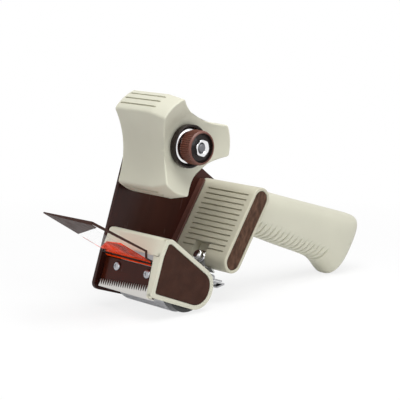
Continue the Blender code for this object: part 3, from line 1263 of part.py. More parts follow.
def make_knob():
    """Knurled knob over the spring, with its captive nut."""
    knurls = []
    for k in range(2 * KNOB_KNURLS):
        angle = math.pi * k / KNOB_KNURLS
        radius = KNOB_RADIUS - (KNOB_KNURL_DEPTH if k % 2 else 0)
        knurls.append((radius * math.cos(angle), radius * math.sin(angle)))
    knob = prism("tension_knob", [knurls], -KNOB_FRONT, KNOB_BACK)
    face = knob_face()
    wall = face + KNOB_WEB
    back = turned("knob_hollow", rod_profile(KNOB_RADIUS - KNOB_WALL, wall, KNOB_BACK + OVERRUN),
                  collection=CUTTERS)
    front = turned("knob_recess", [(0, face), (KNOB_RECESS_RADIUS - KNOB_RECESS / 3, face),
                   (KNOB_RECESS_RADIUS, -KNOB_FRONT - GAP), (KNOB_RECESS_RADIUS, -KNOB_FRONT - OVERRUN),
                   (0, -KNOB_FRONT - OVERRUN)], collection=CUTTERS)
    bore = turned("knob_bore", rod_profile(
        SPINDLE_THREAD_RADIUS + GAP, -KNOB_FRONT - OVERRUN, KNOB_BACK + OVERRUN), collection=CUTTERS)
    cut(knob, back, front, bore)
    paint(knob, (0.11, 0.045, 0.028), 0.4)
    corner = NUT_FLATS / 2 / math.cos(math.pi / 6)
    hexagon = [(corner * math.cos(math.pi * k / 3), corner * math.sin(math.pi * k / 3)) for k in range(6)]
    hole = arc((0, 0), SPINDLE_THREAD_RADIUS + GAP, 0, 2 * math.pi)[:-1]
    nut = prism("knob_nut", [hexagon, hole], face - GAP - NUT_HEIGHT, face - GAP)
    round_edges(nut, GAP, 1)
    paint(nut, CHROME, 0.1, 1)
    return [knob, nut]


def copies(first, shifts):
    """The first piece, and one more on the same mesh at each (x, y, z) shift from it."""
    pieces = [first]
    stem = first.name.rsplit("_", 1)[0]
    for number, shift in enumerate(shifts, 2):
        piece = add_object(f"{stem}_{number}", first.data)
        piece.location = shift
        pieces.append(piece)
    return pieces


def shifts_between(places):
    """Shifts from the first (x, z) place to each of the others."""
    return [(x - places[0][0], 0, z - places[0][1]) for x, z in places[1:]]


def empty_at(name, place, parent):
    """An empty on a joint's axis."""
    empty = bpy.data.objects.new(name, None)
    PARTS.objects.link(empty)
    empty.location = place
    empty.parent = parent
    return empty


def carry(parent, objects):
    """Parents objects modelled in the tool's axes to an empty, leaving them in place."""
    for obj in objects:
        obj.parent = parent
        if parent.parent:
            obj.location -= parent.location


def world_points(names):
    """Points of the named objects in the tool's axes."""
    depsgraph = bpy.context.evaluated_depsgraph_get()
    points = []
    for name in names:
        obj = bpy.data.objects[name].evaluated_get(depsgraph)
        points += [obj.matrix_world @ vertex.co for vertex in obj.data.vertices]
    return points


def standing_pitch(front, back):
    """Angle at which the lowest front and back points lie on one level."""
    pitch = 0
    for _ in range(12):
        down, ahead = math.cos(pitch), math.sin(pitch)
        lowest = [min(points, key=lambda p: p.z * down - p.x * ahead) for points in (front, back)]
        pitch = math.atan2(lowest[1].z - lowest[0].z, lowest[1].x - lowest[0].x)
    return pitch


def build():
    """Makes every piece, groups them on their joints and stands the tool on the table."""
    holes = turned("frame_screw_holes", countersunk(GAP, SCREW_LENGTH), frame_screw_places(), CUTTERS, 16)
    fixed = [make_side_frame(holes), make_housing(holes), make_housing_inlay(), make_nose_cover(holes),
             make_nose_inlay(), make_carrier(holes), make_blade()]
    fixed += make_frame_screws() + make_blade_screws() + make_grip() + make_bracket() + make_spindle()
    brake, thrust = make_brake()
    roller, axle = make_roller()
    comb, retainer = make_retainer()
    flap, flap_pin = make_flap()
    fixed += brake + retainer + [axle, flap_pin]

    rest = empty_at("rest_pose", (0, 0, 0), None)
    carry(rest, fixed + list(CUTTERS.objects))
    across = (SLOT_NEAR + SLOT_FAR) / 2
    carry(empty_at("hub_axis", (0, 0, 0), rest), make_hub())
    carry(empty_at("tension_axis", (0, 0, 0), rest), [thrust] + make_knob())
    carry(empty_at("roller_axis", (ROLLER_AXIS[0], 0, ROLLER_AXIS[1]), rest), roller)
    carry(empty_at("flap_axis", (FLAP_PIN[0], 0, FLAP_PIN[1]), rest), flap)
    carry(empty_at("retainer_axis", (RETAINER_PIVOT[0], across, RETAINER_PIVOT[1]), rest), [comb])
    for cutter in CUTTERS.objects:
        if cutter.parent is None:
            cutter.parent = rest

    bpy.context.view_layer.update()
    rest.rotation_euler = (0, standing_pitch(world_points(["roller_sleeve"]),
                                             world_points(["grip_half_open_side", "grip_half_frame_side"])), 0)
    bpy.context.view_layer.update()
    points = world_points([obj.name for obj in PARTS.objects if obj.type == "MESH"])
    low = [min(point[axis] for point in points) for axis in range(3)]
    high = [max(point[axis] for point in points) for axis in range(3)]
    rest.location = (-(low[0] + high[0]) / 2, -(low[1] + high[1]) / 2, -low[2])
    bpy.context.view_layer.update()
    print("pitch, degrees", round(math.degrees(rest.rotation_euler.y), 3))
    print("rest_pose at", [round(value, 6) for value in rest.location])
    for obj in PARTS.objects:
        if obj.type == "EMPTY":
            print(obj.name, [round(value, 6) for value in obj.matrix_world.translation])


build()
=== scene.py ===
# %% [markdown]
# # A packing tape dispenser
# The tool holds a roll of tape on a three-lobed hub, wipes the tape down with a roller, and tears it
# on a serrated blade behind a hinged flap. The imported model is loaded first, as a fixed frame: each
# piece made below stands where its CAD node stands, rides on the same body, and may hide that node.
# %% The frame
import json
import math

import bmesh
import bpy
from mathutils import Matrix, Vector


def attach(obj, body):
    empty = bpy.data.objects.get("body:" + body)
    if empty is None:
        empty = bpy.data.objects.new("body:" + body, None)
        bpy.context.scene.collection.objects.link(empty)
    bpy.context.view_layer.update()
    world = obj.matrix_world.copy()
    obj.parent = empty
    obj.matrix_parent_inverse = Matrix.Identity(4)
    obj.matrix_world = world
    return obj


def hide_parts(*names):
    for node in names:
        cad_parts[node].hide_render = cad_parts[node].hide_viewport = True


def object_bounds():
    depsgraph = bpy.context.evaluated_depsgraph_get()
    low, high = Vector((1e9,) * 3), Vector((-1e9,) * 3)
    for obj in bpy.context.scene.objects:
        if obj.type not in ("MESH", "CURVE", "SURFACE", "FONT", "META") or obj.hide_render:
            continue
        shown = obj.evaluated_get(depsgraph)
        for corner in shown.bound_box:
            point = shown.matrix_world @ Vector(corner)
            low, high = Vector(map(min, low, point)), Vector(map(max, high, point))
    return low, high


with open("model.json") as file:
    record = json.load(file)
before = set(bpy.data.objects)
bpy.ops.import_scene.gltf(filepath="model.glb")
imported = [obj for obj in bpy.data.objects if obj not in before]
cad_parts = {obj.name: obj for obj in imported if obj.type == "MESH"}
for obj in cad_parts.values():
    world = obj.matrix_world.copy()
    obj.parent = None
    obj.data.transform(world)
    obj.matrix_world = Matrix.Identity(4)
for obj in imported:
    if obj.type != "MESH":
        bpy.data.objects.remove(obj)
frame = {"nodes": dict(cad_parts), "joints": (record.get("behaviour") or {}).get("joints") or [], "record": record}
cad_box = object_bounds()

scene = bpy.context.scene
print("CAD box", [[round(value, 4) for value in corner] for corner in cad_box])

# %% [markdown]
# ## The tool's own axes
# On a table the tool leans forward on its roller and the heel of its grip, so nothing on it is level
# there. Pieces are easier to draw in the tool's own axes and in millimetres: x runs back to the grip,
# y across from the open side to the side frame, z up, all from the hub's axis. One matrix then turns
# and scales every finished mesh into place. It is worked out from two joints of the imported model, the
# hub's and the roller's, so it fits whatever way the model stands.
# %% Matrix from the tool's axes to the world
ROLLER_AXIS = Vector((23.0, 0, -95.0))
HUB_MIDDLE = 25.5
MM = 0.001
joint_at = {joint["name"]: Vector(joint.get("pos_m", (0, 0, 0))) for joint in frame["joints"]}
lean = joint_at["roller_spin"] - joint_at["hub_spin"]
pitch = math.atan2(ROLLER_AXIS.z, ROLLER_AXIS.x) - math.atan2(lean.z, lean.x)
hub_end = joint_at["hub_spin"] - Vector((0, HUB_MIDDLE * MM, 0))
TURN = Matrix.Rotation(pitch, 4, "Y")
TOOL = Matrix.Translation(hub_end) @ TURN @ Matrix.Scale(MM, 4)
print("pitch", round(math.degrees(pitch), 2), "degrees; hub's open end at", [round(v, 4) for v in hub_end])

# %% [markdown]
# ## The camera
# The photograph shows the tool from its open side and from in front, a little below its middle, with
# hardly any perspective: a long lens, far away. The camera's place and its three directions were
# fitted to the hub, the roller and the nose, and are given in the tool's own axes.
# %% The camera
CAMERA_AT = Vector((-629.9, -681.8, -73.5))
CAMERA_RIGHT = Vector((0.6978, -0.6759, 0.2371))
CAMERA_UP = Vector((-0.2002, 0.1338, 0.9706))
CAMERA_BACK = Vector((-0.6877, -0.7248, -0.0419))
LENS = 121.6

camera = bpy.data.objects.new("camera", bpy.data.cameras.new("camera"))
scene.collection.objects.link(camera)
camera.data.lens = LENS
directions = Matrix((CAMERA_RIGHT, CAMERA_UP, CAMERA_BACK)).transposed().to_4x4()
camera.matrix_world = Matrix.Translation(TOOL @ CAMERA_AT) @ TURN @ directions
scene.camera = camera
print("camera at", [round(value, 3) for value in camera.matrix_world.translation])

# %% [markdown]
# ## Helpers for shapes
# Most of the tool is moulded plastic and bent steel, so nearly every piece is an outline given a
# thickness, or a profile spun about an axis, with its edges rounded. An outline is a list of corners
# with a radius each; walking round the corners gives its points. Extruding a face, bridging two loops
# and spinning a profile are left to Blender's own operators.
# %% Outlines
def rounded(corners, steps=12):
    """Points round an outline of (x, z, radius) corners."""
    outline = []
    for k, (x, z, radius) in enumerate(corners):
        here = Vector((x, z))
        back = (Vector(corners[k - 1][:2]) - here).normalized()
        ahead = (Vector(corners[(k + 1) % len(corners)][:2]) - here).normalized()
        half = back.angle(ahead) / 2
        centre = here + (back + ahead).normalized() * (radius / math.sin(half))
        start = here + back * (radius / math.tan(half)) - centre
        side = math.copysign(1, back.x * ahead.y - back.y * ahead.x)
        sweep = -side * (math.pi - 2 * half)
        outline += [centre + Matrix.Rotation(sweep * n / steps, 2) @ start for n in range(steps + 1)]
    return outline


def polar(radius, angle):
    """(x, z) at a radius and an angle in degrees."""
    angle = math.radians(angle)
    return radius * Vector((math.cos(angle), math.sin(angle)))


def arc(centre, radius, start, end, steps):
    """Points on an arc of a circle, between two angles in degrees."""
    return [Vector(centre) + polar(radius, start + (end - start) * k / steps) for k in range(steps + 1)]


# %% Solids
ACROSS = Vector((0, 1, 0))
MERGE = 0.004


def new_verts(grown):
    """The vertices that an extrusion added."""
    return [item for item in grown["geom"] if isinstance(item, bmesh.types.BMVert)]


def new_edges(grown, key="geom"):
    """The edges that an extrusion or a cut added."""
    return [item for item in grown[key] if isinstance(item, bmesh.types.BMEdge)]


def thickened(bm, shift):
    """Extrudes all faces into a solid, and gives back the vertices of its far side."""
    verts = new_verts(bmesh.ops.extrude_face_region(bm, geom=bm.faces[:], use_keep_orig=True))
    bmesh.ops.translate(bm, vec=shift, verts=verts)
    bmesh.ops.recalc_face_normals(bm, faces=bm.faces)
    return verts


def loop(bm, outline, y):
    """A closed loop of edges through (x, z) points at one y."""
    verts = [bm.verts.new((x, y, z)) for x, z in outline]
    return verts, [bm.edges.new(pair) for pair in zip(verts, verts[1:] + verts[:1])]


def plate(outline, near, far):
    """A solid with an (x, z) outline, between two values of y."""
    bm = bmesh.new()
    bm.faces.new(loop(bm, outline, near)[0])
    thickened(bm, (0, far - near, 0))
    return bm


def tray(outer, inner, near, far, floor):
    """A plate whose near face has a pocket with an outline of its own."""
    bm = bmesh.new()
    rim, mouth = loop(bm, outer, near)[1], loop(bm, inner, near)[1]
    bmesh.ops.bridge_loops(bm, edges=rim + mouth)
    for edges, shift in ((rim, far - near), (mouth, floor - near)):
        grown = bmesh.ops.extrude_edge_only(bm, edges=edges)
        bmesh.ops.translate(bm, vec=(0, shift, 0), verts=new_verts(grown))
        bmesh.ops.contextual_create(bm, geom=new_edges(grown))
    bmesh.ops.recalc_face_normals(bm, faces=bm.faces)
    return bm


def spun(profile, centre=(0, 0), steps=48, close=True):
    """A profile of (radius, y) corners, spun about the line along y through an (x, z) centre."""
    bm = bmesh.new()
    verts = [bm.verts.new((radius, y, 0)) for radius, y in profile]
    pairs = list(zip(verts, verts[1:]))
    if close and min(radius for radius, y in profile) > 0:
        pairs.append((verts[-1], verts[0]))
    edges = [bm.edges.new(pair) for pair in pairs]
    bmesh.ops.spin(bm, geom=verts + edges, cent=(0, 0, 0), axis=ACROSS, angle=math.tau,
                   steps=steps, use_merge=True)
    bmesh.ops.translate(bm, vec=(centre[0], 0, centre[1]), verts=bm.verts)
    bmesh.ops.remove_doubles(bm, verts=bm.verts, dist=MERGE)
    bmesh.ops.recalc_face_normals(bm, faces=bm.faces)
    return bm


def block(low, high):
    """A box between two corners."""
    low, high = Vector(low), Vector(high)
    place = Matrix.Translation((low + high) / 2) @ Matrix.Diagonal((*(high - low), 1))
    bm = bmesh.new()
    bmesh.ops.create_cube(bm, size=1, matrix=place)
    return bm


# %% [markdown]
# A moulded edge is never sharp: it catches a thin line of light, and that line is what makes plastic
# look like plastic. `soften` bevels the edges that turn by more than an angle. `carve` takes solids
# out of another with Blender's Boolean, for holes and crossed slots that no simple extrusion gives.
# %% Edges, holes and joins
def bevel(bm, edges, width, segments):
    """Rounds the edges over."""
    bmesh.ops.bevel(bm, geom=edges, offset=width, offset_type="OFFSET", affect="EDGES", segments=segments,
                    profile=0.5, material=-1, clamp_overlap=False)


def soften(bm, width, angle=30, segments=3, where=None):
    """Rounds the edges that turn by more than the angle."""
    edges = [edge for edge in bm.edges if len(edge.link_faces) == 2
             and edge.calc_face_angle() > math.radians(angle) and (where is None or where(edge))]
    bevel(bm, edges, width, segments)
    return bm


def as_object(bm, name):
    """A bmesh as an object for the time being."""
    mesh = bpy.data.meshes.new(name)
    bm.to_mesh(mesh)
    bm.free()
    obj = bpy.data.objects.new(name, mesh)
    scene.collection.objects.link(obj)
    return obj


def carve(bm, *tools, operation="DIFFERENCE"):
    """The solid less the tools, or joined with them."""
    solid = as_object(bm, "solid")
    helpers = [as_object(tool, "tool") for tool in tools]
    for helper in helpers:
        step = solid.modifiers.new("carve", "BOOLEAN")
        step.operation, step.object, step.solver = operation, helper, "EXACT"
    shape = bpy.data.meshes.new_from_object(solid.evaluated_get(bpy.context.evaluated_depsgraph_get()))
    result = bmesh.new()
    result.from_mesh(shape)
    for obj in [solid] + helpers:
        mesh = obj.data
        bpy.data.objects.remove(obj)
        bpy.data.meshes.remove(mesh)
    bpy.data.meshes.remove(shape)
    return result


def joined(*solids):
    """Several solids as one mesh."""
    whole = bmesh.new()
    for bm in solids:
        mesh = bpy.data.meshes.new("part")
        bm.to_mesh(mesh)
        bm.free()
        whole.from_mesh(mesh)
        bpy.data.meshes.remove(mesh)
    return whole


# %% [markdown]
# ## Placing a piece
# A finished piece has its place in its mesh, an object at the origin, one material, the body that it
# rides on, and the CAD nodes that it stands for. Faces are shaded smooth, with edges that turn
# sharply marked sharp, and a Weighted Normal modifier keeps broad flat faces flat beside their bevels.
# %% Placing
dressed = set()


def put(bm, name, body, material, nodes=(), angle=40):
    """Makes a piece of a bmesh drawn in the tool's axes."""
    bmesh.ops.remove_doubles(bm, verts=bm.verts, dist=MERGE)
    for face in bm.faces:
        face.smooth = True
    for edge in bm.edges:
        edge.smooth = len(edge.link_faces) == 2 and edge.calc_face_angle() < math.radians(angle)
    bm.transform(TOOL)
    obj = as_object(bm, name)
    obj.data.materials.append(material)
    even = obj.modifiers.new("even shading", "WEIGHTED_NORMAL")
    even.keep_sharp = True
    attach(obj, body)
    if nodes:
        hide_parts(*nodes)
    dressed.update(nodes)
    print(name, len(obj.data.polygons), "faces,", [round(side * 1000, 1) for side in obj.dimensions], "mm")


def softened(node, name, body, material):
    """A copy of a CAD node, its triangles merged into flat faces and its edges rounded."""
    bm = bmesh.new()
    bm.from_mesh(frame["nodes"][node].data)
    bm.transform(TOOL.inverted())
    bmesh.ops.remove_doubles(bm, verts=bm.verts, dist=MERGE)
    bmesh.ops.dissolve_limit(bm, angle_limit=math.radians(1), verts=bm.verts, edges=bm.edges)
    soften(bm, 0.15, 40, 2)
    put(bm, name, body, material, (node,))


# %% [markdown]
# ## Finishes
# Each finish reads Object coordinates, turned back into the tool's own axes, so a grain or brush mark
# follows the piece and not the table. A finish starts from one plain colour on the shader. A slow noise
# then tints it by a few per cent, a middle noise varies its polish, and a fine one gives it a grain.
# Edges stand out paler: partly wear, where moulded plastic is handled most, and partly a painted highlight, the
# line of light that a rounded edge catches.
# %% A finish in words
def srgb(red, green, blue):
    """A colour as read from a screen, 0 to 255, made linear."""
    return [(c / 255 / 12.92) if c < 10.3 else ((c / 255 + 0.055) / 1.055) ** 2.4 for c in (red, green, blue)]


def add(tree, kind, inputs=None, **settings):
    """One shader node, with its settings, values and links."""
    made = tree.nodes.new("ShaderNode" + kind)
    for name, value in settings.items():
        setattr(made, name, value)
    for name, value in (inputs or {}).items():
        if isinstance(value, bpy.types.NodeSocket):
            tree.links.new(value, made.inputs[name])
        else:
            made.inputs[name].default_value = value
    return made


def tool_coordinates(tree, stretch=(1, 1, 1)):
    """Object coordinates in the tool's axes, in metres."""
    place = add(tree, "TexCoord")
    turned = add(tree, "Mapping", {"Vector": place.outputs["Object"], "Rotation": (0, -pitch, 0)})
    return add(tree, "Mapping", {"Vector": turned.outputs["Vector"], "Scale": stretch}).outputs["Vector"]


def noise(tree, where, scale, detail=2):
    """Values from 0 to 1, in patches that get smaller with the scale."""
    return add(tree, "TexNoise", {"Vector": where, "Scale": scale, "Detail": detail}).outputs["Fac"]


def between(tree, factor, low, high, start=0.3, end=0.7):
    """A factor mapped to run between two values."""
    return add(tree, "MapRange", {"Value": factor, "From Min": start, "From Max": end,
                                  "To Min": low, "To Max": high}).outputs["Result"]


def finish(name, colour, roughness, metallic=0, tint=0.05, polish=0.06, grain=(900, 0.12, 0.00015),
           edge=0.0, stretch=(1, 1, 1), leather=None, patch=22, bands=(0.3, 0.7), **sockets):
    """A material. patch and bands are the size and the range of its tint's noise, grain is its bump's
    scale, strength and depth in metres, and leather the scale of cells and how much grain they get."""
    made = bpy.data.materials.new(name)
    made.use_nodes = True
    tree = made.node_tree
    shader = tree.nodes["Principled BSDF"]
    shader.inputs["Metallic"].default_value = metallic
    for socket, value in sockets.items():
        shader.inputs[socket.replace("_", " ")].default_value = value
    where = tool_coordinates(tree, stretch)
    slow = between(tree, noise(tree, where, patch, 3), -tint, tint, *bands)
    # edge makes sharp edges paler: partly wear, partly a painted highlight line
    if edge:
        edge_wear_and_painted_highlight = add(tree, "NewGeometry").outputs["Pointiness"]
        edge_wear_and_painted_highlight = between(tree, edge_wear_and_painted_highlight, 0, edge, 0.51, 0.60)
        slow = add(tree, "Math", {0: slow, 1: edge_wear_and_painted_highlight}).outputs["Value"]
    lift = add(tree, "Math", {0: slow, 1: 1.0}).outputs["Value"]
    tinted = add(tree, "VectorMath", {0: colour, "Scale": lift}, operation="SCALE").outputs["Vector"]
    tree.links.new(tinted, shader.inputs["Base Color"])
    dull = between(tree, noise(tree, where, 160, 3), roughness - polish, roughness + polish)
    tree.links.new(dull, shader.inputs["Roughness"])
    scale, strength, depth = grain
    height = noise(tree, where, scale, 3)
    if leather:
        cells = add(tree, "TexVoronoi", {"Vector": where, "Scale": leather[0], "Randomness": 1.0},
                    feature="SMOOTH_F1").outputs["Distance"]
        height = add(tree, "Math", {0: cells, 1: height, 2: leather[1]},
                     operation="MULTIPLY_ADD").outputs["Value"]
    bump = add(tree, "Bump", {"Height": height, "Strength": strength, "Distance": depth})
    tree.links.new(bump.outputs["Normal"], shader.inputs["Normal"])
    return made


# %% [markdown]
# The photograph gives the colours: a warm grey beige, a shade darker on the housing, a brown that is
# nearly black where it is glossy, bright chrome, and an orange that glows because light comes through
# it. The leather grain of the two side inlays is a cell pattern, finer than a millimetre, pressed into
# the same brown; the housing's inlay is also mottled. The lip in front of the housing is polished.
# %% The finishes
beige = finish("moulded_beige", srgb(206, 204, 186), 0.46, tint=0.03, edge=0.10,
               grain=(1500, 0.10, 0.00012))
housing_beige = finish("housing_beige", srgb(192, 188, 168), 0.48, tint=0.03, edge=0.14,
                       grain=(1500, 0.12, 0.00012))
brown = finish("glossy_brown", srgb(58, 28, 22), 0.22, tint=0.45, polish=0.06, edge=0.25, patch=24,
               grain=(260, 0.06, 0.0004), stretch=(1.2, 1, 0.12), Specular_IOR_Level=0.20)
# the lip's strong edge lift is a painted highlight line along its rounded edge
lip_brown_painted_edge_highlight = finish("polished_lip_brown", srgb(58, 36, 31), 0.09, tint=0.10, polish=0.03, edge=3.5,
                   grain=(160, 0.05, 0.0005))
inlay = finish("leather_grain_brown", srgb(62, 38, 29), 0.62, tint=0.14, polish=0.08, patch=180,
               grain=(2600, 0.8, 0.0003), leather=(1100, 0.5), Specular_IOR_Level=0.12)
mottled_inlay = finish("mottled_brown", srgb(84, 60, 47), 0.62, tint=0.42, polish=0.08, patch=420,
                       grain=(1900, 0.9, 0.0004), stretch=(1, 1, 0.5), leather=(800, 0.5),
                       Specular_IOR_Level=0.12)
cup_brown = finish("cup_brown", srgb(30, 18, 15), 0.28, tint=0.08, grain=(700, 0.04, 0.0002),
                   Specular_IOR_Level=0.3)
knob_brown = finish("knob_brown", srgb(98, 56, 44), 0.40, tint=0.08, edge=0.35, grain=(1800, 0.15, 0.0001))
carrier_brown = finish("carrier_brown", srgb(66, 26, 15), 0.22, tint=0.30, polish=0.06, edge=0.2,
                       grain=(320, 0.06, 0.0004), Specular_IOR_Level=0.14)
flap_brown = finish("flap_brown", srgb(64, 44, 39), 0.45, tint=0.08, edge=0.25, grain=(1500, 0.14, 0.0001),
                    Specular_IOR_Level=0.06)
chrome = finish("chrome", (0.82, 0.82, 0.83), 0.09, 1, tint=0.02, polish=0.03, grain=(500, 0.03, 0.0001))
screw_chrome = finish("screw_chrome", (0.40, 0.40, 0.42), 0.14, 1, tint=0.10, polish=0.05,
                      grain=(500, 0.05, 0.0001))
zinc = finish("zinc_plated_steel", (0.60, 0.60, 0.58), 0.30, 1, tint=0.10, polish=0.08,
              grain=(900, 0.12, 0.0001))
blade_steel = finish("ground_steel", srgb(205, 202, 198), 0.28, 1, tint=0.05, polish=0.08,
                     grain=(1400, 0.25, 0.0001), stretch=(1, 0.03, 1))
dull_steel = finish("dull_thread_steel", (0.16, 0.16, 0.17), 0.45, 1, tint=0.10, grain=(900, 0.12, 0.0001))
comb_steel = finish("spring_steel", (0.42, 0.42, 0.43), 0.32, 1, tint=0.08, grain=(800, 0.10, 0.0001))
rubber = finish("grey_rubber", srgb(204, 204, 208), 0.60, tint=0.06, edge=0.12, grain=(1300, 0.5, 0.0002),
                stretch=(1, 0.25, 1))
black = finish("black_cap", srgb(38, 38, 38), 0.38, tint=0.08, edge=0.3, grain=(1200, 0.15, 0.0001))
nylon = finish("natural_nylon", srgb(226, 222, 208), 0.42, tint=0.02, grain=(1200, 0.08, 0.0001))
clear = finish("clear_film", (0.93, 0.94, 0.94), 0.12, tint=0.01, polish=0.04, grain=(120, 0.10, 0.0004),
               Alpha=0.07)
orange = finish("orange_film", (0.62, 0.040, 0.002), 0.40, tint=0.72, polish=0.05, patch=75,
                bands=(0.34, 0.50), grain=(90, 0.30, 0.0010), stretch=(0.5, 0.5, 1), Alpha=0.96,
                Specular_IOR_Level=0.03)
tree = orange.node_tree
through = add(tree, "BsdfTranslucent", {"Color": (1.0, 0.060, 0.004, 1)})
half = add(tree, "MixShader", {0: 0.10, 1: tree.nodes["Principled BSDF"].outputs[0], 2: through.outputs[0]})
tree.links.new(half.outputs[0], tree.nodes["Material Output"].inputs["Surface"])
print(len(bpy.data.materials), "finishes")

# %% [markdown]
# ## The hub
# The hub is one moulding: three lobes that reach the roll's core, with hollow sides between them, so
# that the core slides on easily and its lobes grip it. Its outline is drawn once, with the meeting of
# lobe and side rounded, and is carried along y as a chain of loops. Towards the open side the lobes
# taper, and the front face is a shallow dish, so the first loop isn't flat: each point of it lies on
# the dish at its own distance from the axis.
# %% The hub's outline
HUB_REACH = 38.0
HUB_TIP = 34.6
HUB_LENGTH = 51.0
HUB_TAPER = 14.5
SIDE_ARC = 59.4
SIDE_CENTRE = 81.0
LOBE_TURN = 21.0
GROOVE_HALF = 1.0
GROOVES = (-8.2, 0.0, 8.2)
CORNER = 1.7
ROUNDING = (0.25, 0.5, 0.75)
# the dish is steep outside this radius, and flatter inside it, where it has this depth
DISH_STEP = 21.6
DISH_DEEP = 7.0


def turned(start, tip, end):
    """Points between two points, on a curve that bends towards a tip."""
    return [start.lerp(tip, t).lerp(tip.lerp(end, t), t) for t in ROUNDING]


def lobed(reach, side_arc=SIDE_ARC):
    """Points round the hub where its lobes reach a radius, the same number at each reach."""
    half_side = math.acos((reach ** 2 + SIDE_CENTRE ** 2 - side_arc ** 2) / (2 * reach * SIDE_CENTRE))
    turn = math.asin(reach * math.sin(half_side) / side_arc)
    half_lobe = 60 - math.degrees(half_side)
    inset = math.degrees(CORNER / reach)
    spread = math.degrees(turn) - math.degrees(CORNER / side_arc)
    marks = [angle + side * GROOVE_HALF for angle in GROOVES for side in (-1, 1)]
    stops = [-half_lobe + inset] + marks + [half_lobe - inset]
    angles = [a + (b - a) * k / 3 for a, b in zip(stops, stops[1:]) for k in range(3)] + [stops[-1]]
    points = []
    for lobe in range(3):
        middle = LOBE_TURN + 120 * lobe
        lobe_points = [polar(reach, middle + angle) for angle in angles]
        back = middle + 60 + 180
        side_points = arc(polar(SIDE_CENTRE, middle + 60), side_arc, back + spread, back - spread, 24)
        tip, next_tip = polar(reach, middle + half_lobe), polar(reach, middle + 120 - half_lobe)
        following = polar(reach, middle + 120 - half_lobe + inset)
        points += lobe_points + turned(lobe_points[-1], tip, side_points[0])
        points += side_points + turned(side_points[-1], next_tip, following)
    return points


def dish(radius):
    """y of the hub's front face at a distance from the axis."""
    if radius > DISH_STEP:
        return (HUB_TIP - radius) * DISH_DEEP / 13.0
    return DISH_DEEP + (DISH_STEP - radius) * 1.4 / 6.0


def carried(bm, edges, outline, depth):
    """Extrudes a loop of edges and lays its new vertices on an outline; depth gives each one's y."""
    grown = bmesh.ops.extrude_edge_only(bm, edges=edges)
    for vert, (x, z) in zip(new_verts(grown), outline):
        vert.co = (x, depth((x, z)), z)
    return new_edges(grown)


print("points round the hub:", len(lobed(HUB_REACH)), "and", len(lobed(HUB_TIP)))

# %% The hub's shell, dish and grooves
GROOVE_START = 12.5
GROOVE_END = 49.5
GROOVE_DEEP = 0.9
WALL = 2.4
FLOOR = 8.4
HUB_BORE = 6.3
HUB_BOSS = 8.5
RIM_ROUND = 1.3

hub = bmesh.new()
tip_outline = lobed(HUB_TIP)
rim, rim_edges = loop(hub, tip_outline, 0)
for vert in rim:
    vert.co.y = dish(math.hypot(vert.co.x, vert.co.z))
edges = rim_edges
for y in (7, GROOVE_START, HUB_TAPER, 20, 30, 40, GROOVE_END, HUB_LENGTH):
    reach = min(HUB_REACH, HUB_TIP + (HUB_REACH - HUB_TIP) * y / HUB_TAPER)
    edges = carried(hub, edges, lobed(reach), lambda point, y=y: y)
wall = lobed(HUB_TIP, SIDE_ARC + WALL)
edges = carried(hub, edges, wall, lambda point: HUB_LENGTH)
edges = carried(hub, edges, wall, lambda point: FLOOR + WALL)
bmesh.ops.contextual_create(hub, geom=edges)
front = rim_edges
for radius in (DISH_STEP, 18.5, 15.6, 11.0, HUB_BORE):
    circle = [radius * point.normalized() for point in tip_outline]
    front = carried(hub, front, circle, lambda point: dish(math.hypot(*point)))
front = carried(hub, front, circle, lambda point: FLOOR + WALL - 0.4)
bmesh.ops.contextual_create(hub, geom=front)
bmesh.ops.recalc_face_normals(hub, faces=hub.faces)

grooves = []
for face in hub.faces:
    middle = face.calc_center_median()
    angle = math.degrees(math.atan2(middle.z, middle.x)) - LOBE_TURN
    off = (angle + 60) % 120 - 60
    near = min(abs(off - groove) for groove in GROOVES)
    outside = math.hypot(middle.x, middle.z) > HUB_REACH - GROOVE_DEEP
    if near < GROOVE_HALF and outside and GROOVE_START < middle.y < GROOVE_END:
        grooves.append(face)
grown = bmesh.ops.extrude_face_region(hub, geom=grooves)
bmesh.ops.delete(hub, geom=grooves, context="FACES_ONLY")
for vert in new_verts(grown):
    radial = Vector((vert.co.x, 0, vert.co.z)).normalized()
    share = min(1, 0.3 + 0.7 * max(0, vert.co.y - GROOVE_START) / (HUB_TAPER - GROOVE_START))
    vert.co -= radial * GROOVE_DEEP * share
print("hub grooves:", len(grooves), "faces pushed in")


def on_front_rim(vert):
    """Whether a vertex lies on the tip's outline, at the dish's depth."""
    level = abs(vert.co.y - dish(math.hypot(vert.co.x, vert.co.z))) < 0.01
    return level and any(abs(vert.co.x - x) + abs(vert.co.z - z) < 0.01 for x, z in tip_outline)


bevel(hub, [edge for edge in hub.edges if all(map(on_front_rim, edge.verts))], RIM_ROUND, 4)
boss = spun([(HUB_BORE, FLOOR + WALL - 0.5), (HUB_BOSS, FLOOR + WALL - 0.5), (HUB_BOSS, HUB_LENGTH),
             (HUB_BORE, HUB_LENGTH)])
put(joined(hub, boss), "hub_moulding", "hub", beige, ("tape_hub",), 35)

